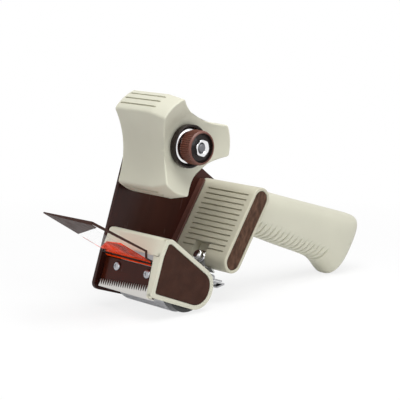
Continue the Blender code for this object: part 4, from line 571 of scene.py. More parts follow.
# %% [markdown]
# ## Brake, knob and nut
# The knob on the hub's end sets how hard the roll is braked: it presses a spring on a dished washer,
# and that on a cup against the hub. All of them are round, so each is a profile of radii spun about
# the axis. The knob's knurls are made by spinning in many steps and pressing every other one in, and
# the dark dish inside the knob, a piece of its own, is painted shade in its recess. The washer bulges
# towards the open side.
# %% Cup, washer and spindle
cup = spun([(3.3, 8.1), (14.7, 8.1), (15.28, 7.6), (15.28, 3.7), (15.1, 3.3), (14.7, 3.15), (13.9, 3.35),
            (13.6, 3.9), (13.5, 5.9), (12.9, 6.5), (3.3, 6.5)], steps=72)
put(cup, "brake_cup_moulding", "frame", cup_brown, ("brake_cup",), 50)
washer = spun([(3.3, 5.1), (8.0, 5.1), (11.9, 6.2), (12.8, 6.3), (13.1, 6.0), (13.05, 5.6), (12.4, 5.0),
               (11.2, 4.45), (9.6, 4.2), (7.6, 4.15), (3.3, 4.15)], steps=72)
put(washer, "dished_spring_washer", "frame", chrome, ("dished_washer",), 50)
thread = [(2.65 if k % 2 else 3.0, -1.4 - 0.45 * k) for k in range(15)]
stem = [(0, 57.7), (3.7, 57.7), (4, 57.4), (4, 54.7), (9.6, 54.7), (10, 54.3), (10, 53.3), (9.6, 52.9),
        (4, 52.9), (4, 8.1), (3.0, 8.1), (3.0, -1.0)]
stud = spun(stem + thread + [(2.5, -8.2), (1.2, -8.3), (0, -8.3)], steps=40)
put(stud, "threaded_spindle", "frame", dull_steel, ("hub_spindle",), 30)

# %% Knob and nut
KNOB_RADIUS = 12.1
KNURLS = 48
KNURL_DEPTH = 0.7
NUT_HALF_FLATS = 5.5

knob = spun([(10.1, 2.0), (11.5, 2.0), (11.85, 1.7), (KNOB_RADIUS, 1.3), (KNOB_RADIUS, -6.4), (11.8, -7.1),
             (11.45, -7.7), (11.0, -8.1), (10.6, -8.18), (10.3, -8.0), (10.2, -4.4), (3.3, -4.4), (3.3, -3.1),
             (10.1, -3.1)], steps=2 * KNURLS)
for vert in knob.verts:
    radius = math.hypot(vert.co.x, vert.co.z)
    step = round(math.atan2(vert.co.z, vert.co.x) / math.pi * KNURLS)
    if radius > 11.82 and step % 2:
        vert.co.x *= 1 - KNURL_DEPTH / radius
        vert.co.z *= 1 - KNURL_DEPTH / radius
put(knob, "knurled_tension_knob", "knob", knob_brown, ("tension_knob",), 25)
# a dish darker than the knob's own brown, in its recess: painted shade
hollow = spun([(3.3, -4.45), (10.15, -4.45), (10.15, -7.75), (9.95, -7.8), (9.7, -7.4), (9.4, -5.7),
               (8.9, -5.15), (8.0, -4.95), (3.3, -4.9)], steps=72)
put(hollow, "knob_dish_painted_shade", "knob", cup_brown, ("tension_knob",), 30)

nut = spun([(3.3, -4.9), (6.3, -4.9), (6.3, -8.1), (6.05, -8.4), (5.7, -8.58), (4.6, -8.58), (4.2, -8.3),
            (3.3, -7.4)])
for vert in nut.verts:
    radius = math.hypot(vert.co.x, vert.co.z)
    off_flat = (math.degrees(math.atan2(vert.co.z, vert.co.x)) % 60) - 30
    limit = NUT_HALF_FLATS / math.cos(math.radians(off_flat))
    if radius > limit:
        vert.co.x *= limit / radius
        vert.co.z *= limit / radius
put(nut, "hexagon_nut", "knob", chrome, ("knob_nut",), 20)

# %% [markdown]
# ## The grip housing
# The slab across the tool is a stadium in section, leaning back at its top. Its open end has a pocket
# for the inlay inside a pale rounded rim. Its front has a row of fine grooves, and a slot at the
# bottom where the tape retainer is screwed on. The outline gets a point at each groove's edge, planes
# cut the slab where grooves and slot end, and then the faces in between are simply pushed in.
# %% The housing's outline
SLAB_TOP = Vector((73.0, -21.8))
SLAB_LEAN = math.radians(14.7)
SLAB_DOWN = Vector((-math.sin(SLAB_LEAN), -math.cos(SLAB_LEAN)))
SLAB_BACK = Vector((math.cos(SLAB_LEAN), -math.sin(SLAB_LEAN)))
INWARD = Vector((SLAB_BACK.x, 0, SLAB_BACK.y))
SLAB_LENGTH = 50.1
SLAB_RADIUS = 8.65
SLAB_NEAR = -3.5
PLATE_FACE = 55.0
RIB_START = 1.3
RIB_PITCH = 4.14
RIB_HALF = 0.5
RIBS = 12
RIB_DEEP = 1.3
SLOT_FLOOR = -2.45
SLOT = (17.9, 32.8)
RIB_ENDS = (1.8, 44.6)
ON_FRONT = 0.01 - SLAB_RADIUS
slot_top = RIB_START + 10 * RIB_PITCH - RIB_HALF


def slab_point(down, back):
    """(x, z) at a distance down the slab's middle line and behind it."""
    return SLAB_TOP + SLAB_DOWN * down + SLAB_BACK * back


def slab_place(co):
    """Distance down the slab's middle line, and behind it, of a point."""
    off = Vector((co.x, co.z)) - SLAB_TOP
    return off.dot(SLAB_DOWN), off.dot(SLAB_BACK)


def stadium(radius):
    """Round-ended outline about the slab's middle line, with points at the grooves' edges."""
    floor_angle = math.degrees(math.acos(SLOT_FLOOR / SLAB_RADIUS))
    over = [k * 180 / 16 for k in range(17)]
    under = sorted(over + [floor_angle])
    top = [slab_point(-radius * math.sin(math.radians(t)), -radius * math.cos(math.radians(t))) for t in over]
    low = [slab_point(SLAB_LENGTH + radius * math.sin(math.radians(t)), radius * math.cos(math.radians(t)))
           for t in under]
    marks = sorted((RIB_START + k * RIB_PITCH + side * RIB_HALF for k in range(RIBS) for side in (-1, 1)),
                   reverse=True)
    flat = [slab_point(mark, -radius) for mark in marks]
    return top + low + flat


# %% The housing
def on_rim(edge, near, inner=False):
    """Whether an edge is at a tray's outer rim, or else at its pocket's mouth."""
    level = all(abs(vert.co.y - near) < 0.01 for vert in edge.verts)
    side = next((face for face in edge.link_faces if abs(face.normal.y) < 0.5), None)
    if not level or side is None or max(abs(face.normal.y) for face in edge.link_faces) < 0.9:
        return False
    depths = [vert.co.y - near for vert in side.verts]
    return (min(depths) > -0.01 and max(depths) < 5) == inner


def rimmed(outer, inner, near, far, floor, mouth_round, rim_round):
    """A tray with its pocket's mouth and its outer rim rounded."""
    bm = tray(outer, inner, near, far, floor)
    soften(bm, mouth_round, 60, 2, lambda edge: on_rim(edge, near, True))
    return soften(bm, rim_round, 60, 4, lambda edge: on_rim(edge, near))


def inset_panel(outline, near, far, width):
    """A plate with its near edges rounded."""
    return soften(plate(outline, near, far), width, 60, 2,
                  lambda edge: all(vert.co.y < near + 0.01 for vert in edge.verts))


housing = rimmed(stadium(SLAB_RADIUS), stadium(6.3), SLAB_NEAR, PLATE_FACE - 0.3, SLAB_NEAR + 1.9, 0.35, 1.0)
for y in (*SLOT, *RIB_ENDS):
    everything = housing.verts[:] + housing.edges[:] + housing.faces[:]
    bmesh.ops.bisect_plane(housing, geom=everything, plane_co=(0, y, 0), plane_no=ACROSS, dist=0.001)

ribs, slot = [], []
for face in housing.faces:
    middle = face.calc_center_median()
    down, back = slab_place(middle)
    off = abs((down - RIB_START + RIB_PITCH / 2) % RIB_PITCH - RIB_PITCH / 2)
    if abs(face.normal.y) > 0.5:
        continue
    if SLOT[0] < middle.y < SLOT[1] and back < SLOT_FLOOR and down > slot_top:
        slot.append(face)
    elif (back < ON_FRONT and off < RIB_HALF and 0 < down < SLAB_LENGTH
          and RIB_ENDS[0] < middle.y < RIB_ENDS[1]):
        ribs.append(face)
for faces, push in ((ribs, lambda co: RIB_DEEP), (slot, lambda co: SLOT_FLOOR - slab_place(co)[1])):
    for vert in new_verts(bmesh.ops.extrude_face_region(housing, geom=faces)):
        vert.co += INWARD * push(vert.co)
    bmesh.ops.delete(housing, geom=faces, context="FACES_ONLY")
bmesh.ops.remove_doubles(housing, verts=housing.verts, dist=MERGE)
soften(housing, 0.22, 50, 2, lambda edge: all(
    slab_place(vert.co)[1] < ON_FRONT and RIB_ENDS[0] - 0.01 < vert.co.y < RIB_ENDS[1] + 0.01
    for vert in edge.verts))
print("housing grooves:", len(ribs), "faces, slot:", len(slot))
put(housing, "grip_housing_moulding", "frame", housing_beige, ("grip_housing",), 35)

panel = inset_panel(stadium(6.0), SLAB_NEAR + 0.3, SLAB_NEAR + 1.6, 0.3)
put(panel, "housing_inlay_panel", "frame", mottled_inlay, ("housing_side_inlay",))

# %% [markdown]
# ## The grip
# The grip is a rounded box in section that leans as the housing does, swells into a heel at its
# lower end and is closed by a full round. A ring of points is extruded from station to station and
# laid on a superellipse at each. Fine finger ribs run round its underside: they are part of the same
# surface, pressed in a little at every step. It is moulded in two halves, so it is cut along its middle
# plane, and the halves stand a hair apart.
# %% The grip's sections
GRIP_TOP = -12.7
GRIP_HEIGHT = 34.0
GRIP_LENGTH = 130.9
GRIP_MIDDLE = 25.0
GRIP_HALF = 15.0
SECTION_POWER = 2.7
STATIONS = 250
RING_POINTS = 72
HALF_GAP = 0.12
RIB_SPAN = (0.035, 0.745)
FINGER_RIBS = 17
grip_front = slab_point(0, SLAB_RADIUS + 0.3)
grip_front = grip_front.x + math.tan(SLAB_LEAN) * (GRIP_TOP - grip_front.y)
# along the length, rise of the top and drop of the underside (of the height), thickness
GRIP_SHARES = (
    (0.000, 0.000, 1.010, 0.960), (0.184, 0.002, 1.030, 1.000), (0.429, 0.026, 1.090, 1.000),
    (0.684, 0.056, 1.145, 1.000), (0.760, 0.065, 1.195, 1.000), (0.818, 0.071, 1.282, 1.000),
    (0.869, 0.072, 1.385, 0.990), (0.906, 0.063, 1.430, 0.950), (0.937, 0.035, 1.375, 0.845),
    (0.958, -0.020, 1.228, 0.695), (0.970, -0.085, 1.090, 0.555), (0.977, -0.155, 0.985, 0.430),
    (0.981, -0.260, 0.880, 0.260), (0.982, -0.390, 0.750, 0.080),
)


def smooth_row(along):
    """Rise, drop and thickness at a share of the length, on a smooth curve through the rows."""
    last = len(GRIP_SHARES) - 1
    k = max(i for i in range(last) if GRIP_SHARES[i][0] <= along + 1e-9)
    before, one, two, after = (GRIP_SHARES[i] for i in (max(k - 1, 0), k, k + 1, min(k + 2, last)))
    span = two[0] - one[0]
    t = (along - one[0]) / span
    row = []
    for a, b, c, d in list(zip(before, one, two, after))[1:]:
        start, end = (c - a) / (two[0] - before[0]) * span, (d - b) / (after[0] - one[0]) * span
        row.append((2 * t ** 3 - 3 * t ** 2 + 1) * b + (t ** 3 - 2 * t ** 2 + t) * start
                   + (3 * t ** 2 - 2 * t ** 3) * c + (t ** 3 - t ** 2) * end)
    return row


def ease(value, start, end):
    """0 before start, 1 after end, and smooth between them."""
    t = min(1, max(0, (value - start) / (end - start)))
    return t * t * (3 - 2 * t)


def grip_point(along, angle):
    """A point of the grip's skin at a share of its length and an angle round its section."""
    rise, drop, thick = smooth_row(along)
    top, low = GRIP_TOP + rise * GRIP_HEIGHT, GRIP_TOP - drop * GRIP_HEIGHT
    wide, tall = (math.copysign(abs(c) ** (2 / SECTION_POWER), c) for c in (math.cos(angle), math.sin(angle)))
    down = (GRIP_TOP - (top + low) / 2 - (top - low) / 2 * tall) / GRIP_HEIGHT
    phase = (along - RIB_SPAN[0]) / (RIB_SPAN[1] - RIB_SPAN[0]) * FINGER_RIBS
    upper = 0.64 + 0.28 * along
    mask = ease(along, RIB_SPAN[0] - 0.01, RIB_SPAN[0] + 0.01)
    mask *= 1 - ease(along, RIB_SPAN[1], RIB_SPAN[1] + 0.02)
    mask *= ease(down, upper, upper + 0.10)
    press = 1.7 * mask * (1 - abs(math.sin(math.pi * phase))) ** 2.4
    z = (top + low) / 2 + ((top - low) / 2 - press) * tall
    y = GRIP_MIDDLE + (GRIP_HALF * thick - press) * wide
    return Vector((grip_front + along * GRIP_LENGTH + math.tan(SLAB_LEAN) * (z - GRIP_TOP), y, z))


# %% The grip's two halves
def grip_half(side):
    """The grip on one side of its middle plane: -1 is the open side."""
    bm = bmesh.new()
    ring = bmesh.ops.create_circle(bm, segments=RING_POINTS, radius=1)["verts"]
    first = edges = bm.edges[:]
    last = GRIP_SHARES[-1][0]
    stations = [last * k / STATIONS for k in range(STATIONS - 12)]
    tail = stations[-1]
    stations += [tail + (last - tail) * math.sin(math.pi / 2 * k / 16) for k in range(1, 17)]
    for number, along in enumerate(stations):
        if number:
            grown = bmesh.ops.extrude_edge_only(bm, edges=edges)
            ring = new_verts(grown)
            edges = [edge for edge in new_edges(grown) if all(vert in ring for vert in edge.verts)]
        for k, vert in enumerate(ring):
            vert.co = grip_point(along, math.tau * k / RING_POINTS)
    bmesh.ops.contextual_create(bm, geom=edges)
    bmesh.ops.contextual_create(bm, geom=first)
    bmesh.ops.recalc_face_normals(bm, faces=bm.faces)
    everything = bm.verts[:] + bm.edges[:] + bm.faces[:]
    cut = bmesh.ops.bisect_plane(bm, geom=everything, plane_co=(0, GRIP_MIDDLE + side * HALF_GAP, 0),
                                 plane_no=(0, side, 0), dist=0.001, clear_inner=True)
    bmesh.ops.contextual_create(bm, geom=new_edges(cut, "geom_cut"))
    return bm


# %% Cutting the halves out and sinking the screws
SCREW_SHARES = ((0.16, 0.50), (0.50, 0.52), (0.84, 0.75))
GRIP_FAR = GRIP_MIDDLE + GRIP_HALF
WELL_RADIUS = 3.1
WELL_FLOOR = GRIP_FAR - 4.3


def grip_spot(along, drop):
    """(x, z) at shares of the grip's length and height."""
    z = GRIP_TOP - drop * GRIP_HEIGHT
    return grip_front + along * GRIP_LENGTH + math.tan(SLAB_LEAN) * (z - GRIP_TOP), z


grip_screws = [grip_spot(*share) for share in SCREW_SHARES]
put(grip_half(-1), "grip_shell_open_side", "frame", beige, ("grip_half_open_side",), 40)
well = [(0, GRIP_FAR + 3), (WELL_RADIUS, GRIP_FAR + 3), (WELL_RADIUS, WELL_FLOOR), (0, WELL_FLOOR)]
far_half = carve(grip_half(1), *[spun(well, place, 40) for place in grip_screws])
put(far_half, "grip_shell_frame_side", "frame", beige, ("grip_half_frame_side",), 40)

# %% [markdown]
# ## Screws
# Every screw is a profile spun about y with a crossed slot carved into its head, then turned to the
# direction that it is driven in. Where a screw stands is read from its CAD node.
# %% Screw shapes
def crossed(profile, reach, top, depth):
    """A screw spun from its profile, with a crossed slot sunk from its top."""
    slots = [block((-a, top - 1, -b), (a, top + depth, b)) for a, b in
             ((reach, reach * 0.2), (reach * 0.2, reach))]
    return carve(spun(profile, steps=40), *slots)


def domed(head, height, shank, length):
    """Profile of a round head, its underside at 0, and a shank."""
    dome = [(head * math.sin(math.radians(a)), -height * (0.25 + 0.75 * math.cos(math.radians(a))))
            for a in range(0, 91, 10)]
    return dome + [(head, 0), (shank, 0), (shank, length - shank), (0, length)]


def sunk(head, height, shank, length):
    """Profile of a countersunk head, its face at 0, and a shank."""
    return [(0, 0), (head - 0.15, 0), (head, 0.15), (shank, height), (shank, length), (0, length)]


def aimed(bm, base, into):
    """Turns a shape from y to a direction and moves it to its place."""
    bm.transform(Matrix.Translation(base) @ ACROSS.rotation_difference(Vector(into)).to_matrix().to_4x4())
    return bm


def extent(node):
    """Low and high corner of a CAD node in the tool's axes."""
    spots = [TOOL.inverted() @ vert.co for vert in frame["nodes"][node].data.vertices]
    return [Vector([pick(spot[axis] for spot in spots) for axis in range(3)]) for pick in (min, max)]


def centre(node):
    """Middle of a CAD node in the tool's axes."""
    low, high = extent(node)
    return (low + high) / 2


# %% Frame screws and grip screws
DOME = 1.6
SLOT_SHARE = 0.62
frame_screws = [node for node in frame["nodes"] if node.startswith("frame_screw")]
for node in frame_screws + ["grip_screw_1", "grip_screw_2", "grip_screw_3"]:
    low, high = extent(node)
    head, length = (high.x - low.x) / 2, high.y - low.y
    if node in frame_screws:
        piece = crossed(sunk(head, 1.9, head * 0.52, length), head * SLOT_SHARE, 0, 1.1)
        under_head = high.y
    else:
        piece = crossed(domed(head, DOME, 1.5, length - 1.8), head * SLOT_SHARE, -DOME, 0.9)
        under_head = high.y - 1.7
    aimed(piece, (centre(node).x, under_head, centre(node).z), (0, -1, 0))
    put(piece, node + "_crossed", "frame", zinc, (node,), 30)

# %% [markdown]
# ## The side frame
# One moulded plate carries everything. Its outline follows the hub, the housing and the nose. Holes
# for the screws, the hub's spindle, the roller's axle and the flap's pin go through it. A thin polished
# lip, made as a piece of its own, stands up from the plate in front of the housing.
# %% Plate, lip and holes
PLATE_OUTER = 58.0
REAR = SLAB_RADIUS + 1.2
WAIST = 43.0
top_rear, bottom_rear = slab_point(-REAR, REAR), slab_point(SLAB_LENGTH + REAR, REAR)
bottom_front = slab_point(SLAB_LENGTH + REAR, -REAR)
side = plate(rounded([
    (-12.0, 13.8, 12.0), (3.5, 13.8, 13.8), (*top_rear, 7.0), (*bottom_rear, REAR - 0.3),
    (*bottom_front, 3.0), (WAIST, bottom_front.y, 3.0), (WAIST, -112.0, 19.0), (-12.0, -112.0, 5.0),
]), PLATE_FACE + 0.05, PLATE_OUTER - 0.02)
soften(side, 0.45, 60, 3)
at_roller = (ROLLER_AXIS.x, ROLLER_AXIS.z)
at_pin = (centre("flap_pin").x, centre("flap_pin").z)
countersink = [(0, 60), (0, 50), (1.9, 50), (1.9, PLATE_OUTER - 2.0), (3.6, PLATE_OUTER - 0.3), (3.6, 60)]
wells = [spun(countersink, (centre(node).x, centre(node).z), 32) for node in frame_screws]
bores = [spun([(0, 60), (0, 50), (radius, 50), (radius, 60)], spot, 40)
         for radius, spot in ((4.3, (0, 0)), (3.3, at_roller), (1.3, at_pin))]
side = carve(side, *wells, *bores)
LIP_FACE = -SLAB_RADIUS - 0.5
LIP_FRONT = LIP_FACE - 1.6
LIP_TOP = -SLAB_RADIUS / 2
LIP_NEAR = 49.5
lip = plate([slab_point(*spot) for spot in ((LIP_TOP, LIP_FACE), (LIP_TOP, LIP_FRONT), (SLAB_LENGTH, LIP_FRONT),
                                            (SLAB_LENGTH, LIP_FACE))], LIP_NEAR, PLATE_FACE + 1)
soften(lip, 0.5, 60, 3, lambda edge: min(vert.co.y for vert in edge.verts) < LIP_NEAR + 0.1)
put(side, "side_frame_plate", "frame", brown, ("side_frame",), 35)
# the lip's finish paints a bright highlight line along its edge
put(lip, "side_frame_lip", "frame", lip_brown_painted_edge_highlight, ("side_frame",), 35)

# %% [markdown]
# ## The nose cover
# The guard in front of the roller has a side wall whose face is a shallow tray for the inlay. Its front
# turns the corner as a beam above the window and a column beside it. The same outline, set in by the
# width of the rim, gives the tray's pocket and the inlay.
# %% The nose's outline
NOSE_NEAR = -7.0
NOSE_FAR = 54.7
NOSE_CORNERS = ((-10.5, -66.6, 2.5), (-5.0, -65.5, 5.0), (43.3, -83.7, 14.0), (43.3, -110.3, 15.0),
                (-12.6, -107.0, 2.0), (-12.6, -78.0, 20.0))
# (y, z) corners of the window between beam and column
WINDOW = ((0.5, -79.0), (60, -79.0), (60, -112), (-2.2, -112))


def set_in(corners, inset):
    """Corners moved in by the same distance from both of their sides."""
    points = [Vector(corner[:2]) for corner in corners]
    result = []
    for k, (point, corner) in enumerate(zip(points, corners)):
        one = (point - points[k - 1]).normalized()
        two = (points[(k + 1) % len(points)] - point).normalized()
        in_one, in_two = Vector((one.y, -one.x)), Vector((two.y, -two.x))
        spot = point + (in_one + in_two) * (inset / (1 + in_one.dot(in_two)))
        result.append((spot.x, spot.y, max(corner[2] - inset, min(corner[2], 2.0))))
    return result


# %% Side wall, front and inlay
outline, pocket = rounded(NOSE_CORNERS), rounded(set_in(NOSE_CORNERS, 3.1))
wall = rimmed(outline, pocket, NOSE_NEAR, NOSE_NEAR + 3, NOSE_NEAR + 1.7, 0.3, 0.9)
skin = sorted((point for point in outline if point.x < -5.5 and point.y > -106.8), key=lambda point: point.y)
behind = [(skin[-1].x, skin[-1].y - 2.4), (-8.1, -69.0), (-10.2, -78.0), (-10.2, skin[0].y)]
front = plate(skin + [Vector(point) for point in behind], NOSE_NEAR + 1.5, NOSE_FAR)
window = bmesh.new()
window.faces.new([window.verts.new((-20, y, z)) for y, z in WINDOW])
thickened(window, (15, 0, 0))
front = carve(front, window)
bmesh.ops.remove_doubles(front, verts=front.verts, dist=MERGE)
bmesh.ops.dissolve_limit(front, angle_limit=math.radians(0.5), verts=front.verts, edges=front.edges)
soften(front, 0.55, 50, 3, lambda edge: min(vert.co.y for vert in edge.verts) > -5.4)
end_block = block((-10.3, NOSE_FAR - 8, -76.3), (-1.2, NOSE_FAR, -68.3))
boss = spun([(3.3, -5.5), (6.7, -5.5), (6.7, -3.7), (3.3, -3.7)], at_roller, 40)
foot = block((-12.2, -5.5, -108.0), (-9.9, -1.9, -106.0))
nose = joined(wall, front, foot, end_block, boss)
put(nose, "nose_cover_moulding", "frame", beige, ("nose_cover",), 35)

panel = inset_panel(rounded(set_in(NOSE_CORNERS, 3.4)), NOSE_NEAR + 0.35, NOSE_NEAR + 1.4, 0.25)
put(panel, "nose_inlay_panel", "frame", inlay, ("nose_side_inlay",))

# %% [markdown]
# ## Blade and carrier
# Behind the window stands a glossy cross plate. The blade wraps under it and shows its teeth in front,
# long thin spikes with gaps between them. Its row of teeth slopes a little across the tool, and starts
# behind the column. Two round-headed screws hold both.
# %% Carrier, blade and blade screws
low, high = extent("blade_carrier")
cross_plate = block((-7.5, low.y, low.z), (-5.0, high.y, high.z))
soften(cross_plate, 0.5, 60, 3)
flange = block((-6.2, high.y - 2.2, low.z + 0.2), (high.x, high.y, high.z - 0.2))
soften(flange, 0.4, 60, 2)
put(joined(cross_plate, flange), "carrier_moulding", "frame", carrier_brown, ("blade_carrier",))

TEETH = 23
TOOTH_ROOT, TOOTH_TIP = -106.1, -101.6
TOOTH_SHOULDER = TOOTH_ROOT + 2.4
TOOTH_SLANT = 0.078
BLADE_BACK, BLADE_TOP, BLADE_NEAR = -3.9, -89.6, -2.0
low, high = extent("cutter_blade")
low.y = BLADE_NEAR
shank = [block((BLADE_BACK - 0.8, low.y, low.z + 0.4), (BLADE_BACK, high.y, BLADE_TOP)),
         block((-9.8, low.y, low.z), (BLADE_BACK, high.y, low.z + 0.8))]
front_strip = [block((-10.2, low.y, low.z + 0.3), (-9.4, high.y, TOOTH_ROOT + 0.1))]
tooth_pitch = (high.y - low.y) / TEETH
spike_outline = ((0.1, TOOTH_ROOT), (0.9, TOOTH_ROOT), (0.62, TOOTH_SHOULDER), (0.5, TOOTH_TIP),
                 (0.38, TOOTH_SHOULDER))
for tooth in range(TEETH):
    start = low.y + tooth * tooth_pitch
    spike = bmesh.new()
    spike.faces.new([spike.verts.new((-10.15, start + share * tooth_pitch, z)) for share, z in spike_outline])
    for vert in thickened(spike, (0.7, 0, 0)):
        vert.co.x -= 0.45 * max(0, (vert.co.z - TOOTH_ROOT) / (TOOTH_TIP - TOOTH_ROOT))
    front_strip.append(spike)
strip = joined(*front_strip)
for vert in strip.verts:
    share = min(1, max(0, (vert.co.z - low.z) / (TOOTH_ROOT - low.z)))
    vert.co.z -= TOOTH_SLANT * share * (vert.co.y - (low.y + high.y) / 2)
put(joined(strip, *shank), "serrated_blade", "frame", blade_steel, ("cutter_blade",), 20)

for node in ("blade_screw_1", "blade_screw_2"):
    place = centre(node)
    piece = aimed(crossed(domed(3.4, 1.9, 1.6, 6.0), 1.5, -1.9, 0.9), (-7.55, place.y, place.z), (1, 0, 0))
    put(piece, node + "_round_head", "frame", screw_chrome, (node,), 30)

# %% [markdown]
# ## The roller
# A grey rubber sleeve on a core wipes the tape down. The sleeve's ends are rounded over, and a black
# cap closes the open side.
# %% Sleeve, cap and axle
sleeve = spun([(16.0, 5.2), (18.2, 5.2), (18.7, 5.4), (18.93, 6.0), (18.93, 53.2), (18.7, 53.8), (18.2, 54.0),
               (16.0, 54.0)], at_roller, 96)
put(sleeve, "roller_rubber_sleeve", "roller", rubber, ("roller_sleeve",), 50)
cap = spun([(3.3, -2.4), (5.2, -2.4), (5.6, -2.9), (6.6, -3.0), (7.0, -2.5), (14.6, -2.5), (15.2, -3.0),
            (17.2, -3.0), (17.8, -2.6), (17.98, -2.0), (17.98, 4.7), (12.9, 4.7), (12.9, 12.6), (3.3, 12.6)],
           at_roller, 96)
put(cap, "roller_cap_moulding", "roller", black, ("roller_end_cap",), 40)
low, high = extent("roller_axle")
axle = spun([(0, low.y), (2.6, low.y), (3.0, low.y + 0.4), (3.0, high.y - 0.4), (2.6, high.y), (0, high.y)],
            at_roller, 40)
put(axle, "roller_axle_turned", "frame", zinc, ("roller_axle",), 35)

# %% [markdown]
# ## The tape retainer
# A bright screw with a washer holds a bent bracket in the housing's slot, and the bracket carries the
# sprung comb that keeps the tape's end on the roller.
# %% Screw, washer, bracket and comb
DOWN_IN_SLOT = 53.0
slot_spot = slab_point(DOWN_IN_SLOT, SLOT_FLOOR)
slot_base = Vector((slot_spot.x, (SLOT[0] + SLOT[1]) / 2, slot_spot.y))
head = [(0, -7.3), (1.6, -7.25), (2.9, -7.0), (3.6, -6.5), (3.88, -5.8), (3.88, -2.95), (3.6, -2.7),
        (1.8, -2.7), (1.8, 5.0), (0, 5.2)]
ring = [(2.1, -1.85), (4.6, -1.85), (4.8, -2.05), (4.8, -2.4), (4.6, -2.6), (2.1, -2.6)]
for profile, name, node in ((head, "retainer_screw_capped", "retainer_screw"),
                            (ring, "retainer_washer_turned", "retainer_washer")):
    put(aimed(spun(profile), slot_base, INWARD), name, "frame", chrome, (node,), 35)
softened("retainer_bracket", "retainer_bracket_bent", "frame", zinc)
softened("tape_retainer", "tape_retainer_comb", "retainer", comb_steel)

# %% [markdown]
# ## The flap
# Clear film stands out in front of the blade from a hinge, so that fingers meet it before the teeth.
# Near its root it is see-through orange, and its tip is a brown plate. A rail stiffens its near edge: it
# starts in front of the nose's beam on a short leg, so that the flap can swing up past the beam. Each
# sheet is a grid laid on four corners, given as (y, distance from the pin, height off the film).
# %% Sheets in the flap's plane
FLAP_RISE = math.radians(13.6)
FLAP_OUT = Vector((-math.cos(FLAP_RISE), 0, math.sin(FLAP_RISE)))
FLAP_UP = Vector((math.sin(FLAP_RISE), 0, math.cos(FLAP_RISE)))
FLAP_NEAR, FLAP_FAR, FLAP_LENGTH, TIP_SLANT = 1.8, 53.0, 66.8, 2.2


def flap_end(y):
    """Distance from the pin to the flap's tip."""
    return FLAP_LENGTH - TIP_SLANT * (FLAP_FAR - y) / (FLAP_FAR - FLAP_NEAR)


def on_flap(y, along, lift):
    """A point of the flap."""
    return Vector((at_pin[0], y, at_pin[1])) + FLAP_OUT * along + FLAP_UP * lift


def sheet(corners, shift, across=12, along=16, wave=0.0):
    """A thin solid between four corners, with slow waves in it if asked."""
    bm = bmesh.new()
    bmesh.ops.create_grid(bm, x_segments=across, y_segments=along, size=1)
    a, b, c, d = (on_flap(*corner) for corner in corners)
    for vert in bm.verts:
        u, v = (vert.co.x + 1) / 2, (vert.co.y + 1) / 2
        vert.co = a.lerp(b, u).lerp(d.lerp(c, u), v)
        vert.co += FLAP_UP * wave * math.sin(u * 9.0 + v * 5.0) * math.sin(math.pi * u) * math.sin(math.pi * v)
    thickened(bm, shift)
    return bm


def lying(near, far, start, ends, lift):
    """Corners of a sheet that lies on the flap from near to far, with an end for each side."""
    return (near, start, lift), (far, start, lift), (far, ends[1], lift), (near, ends[0], lift)


def standing(spots, across, along, width):
    """A strip on the flap's near edge, between corners as (distance from the pin, height)."""
    return soften(sheet([(FLAP_NEAR, *spot) for spot in spots], ACROSS * 1.2, across, along), width, 60, 2)


# %% Film and orange panel
FILM_NEAR = FLAP_NEAR + 1.9
EDGE_FROM, EDGE_TO = FLAP_FAR - 0.5, FLAP_FAR - 0.1
near_end = flap_end(FLAP_NEAR)
near_inner = near_end - 5.4
film = sheet(lying(FILM_NEAR, FLAP_FAR, 2.3, (near_inner + 0.3, 31.0), -0.3), FLAP_UP * 0.3, wave=0.15)
put(film, "flap_clear_film", "flap", clear, ("flap_film",), 60)

# the panel reaches furthest out at its near edge, and narrows to a strip at the flap's far one
PEAK_AT, PEAK_END, PANEL_START, STRIP_END = 24.0, 28.6, 6.4, 7.8
glow = sheet(lying(FILM_NEAR, PEAK_AT, PANEL_START, (33.5, PEAK_END), 0.3), FLAP_UP * 0.5, wave=0.9)
glow_far = sheet(lying(PEAK_AT, EDGE_FROM, PANEL_START, (PEAK_END, STRIP_END), 0.3), FLAP_UP * 0.5, wave=0.9)
edge_line = sheet(lying(EDGE_FROM, EDGE_TO, STRIP_END, (26.0, 26.0), 0.1), FLAP_UP * 0.25, 1, 4)
wrap = bmesh.new()
bend = arc(at_pin, 2.1, 80, 260, 15)
verts = [wrap.verts.new((x, FILM_NEAR, z)) for x, z in bend]
edges = [wrap.edges.new(pair) for pair in zip(verts, verts[1:])]
grown = bmesh.ops.extrude_edge_only(wrap, edges=edges)
bmesh.ops.translate(wrap, vec=(0, FLAP_FAR - 0.4 - FILM_NEAR, 0), verts=new_verts(grown))
panel = joined(glow, glow_far, edge_line, wrap)
put(panel, "flap_orange_sheet", "flap", orange, ("flap_orange_panel",), 60)

# %% Tip plate, rail and hinge bar
RAIL_START, RAIL_LOW, RAIL_HIGH = 10.4, 4.2, 5.6
TIP_NEAR, TIP_FAR = near_end - 0.2, FLAP_FAR - 0.4
tip = sheet(((FLAP_NEAR, near_inner, 0.3), (FLAP_FAR, 30.6, 0.3), (TIP_FAR, FLAP_LENGTH - 1.0, 0.3),
             (FLAP_NEAR, TIP_NEAR, 0.3)), FLAP_UP * 0.6)
tip_rib = sheet(((FLAP_NEAR, TIP_NEAR, 0.4), (TIP_FAR, FLAP_LENGTH - 0.8, 0.3),
                 (TIP_FAR, FLAP_LENGTH - 0.8, 1.3), (FLAP_NEAR, TIP_NEAR, 2.9)), FLAP_OUT * -1.0, 12, 2)
soften(tip, 0.2, 60, 2)
soften(tip_rib, 0.25, 60, 2)
rail = standing(((RAIL_START, RAIL_LOW), (near_end - 0.3, 1.0), (near_end - 0.3, 2.9),
                 (RAIL_START, RAIL_HIGH)), 12, 2, 0.3)
leg = standing(((7.3, 0.4), (9.0, 0.4), (12.2, 5.2), (10.5, 5.2)), 3, 3, 0.25)
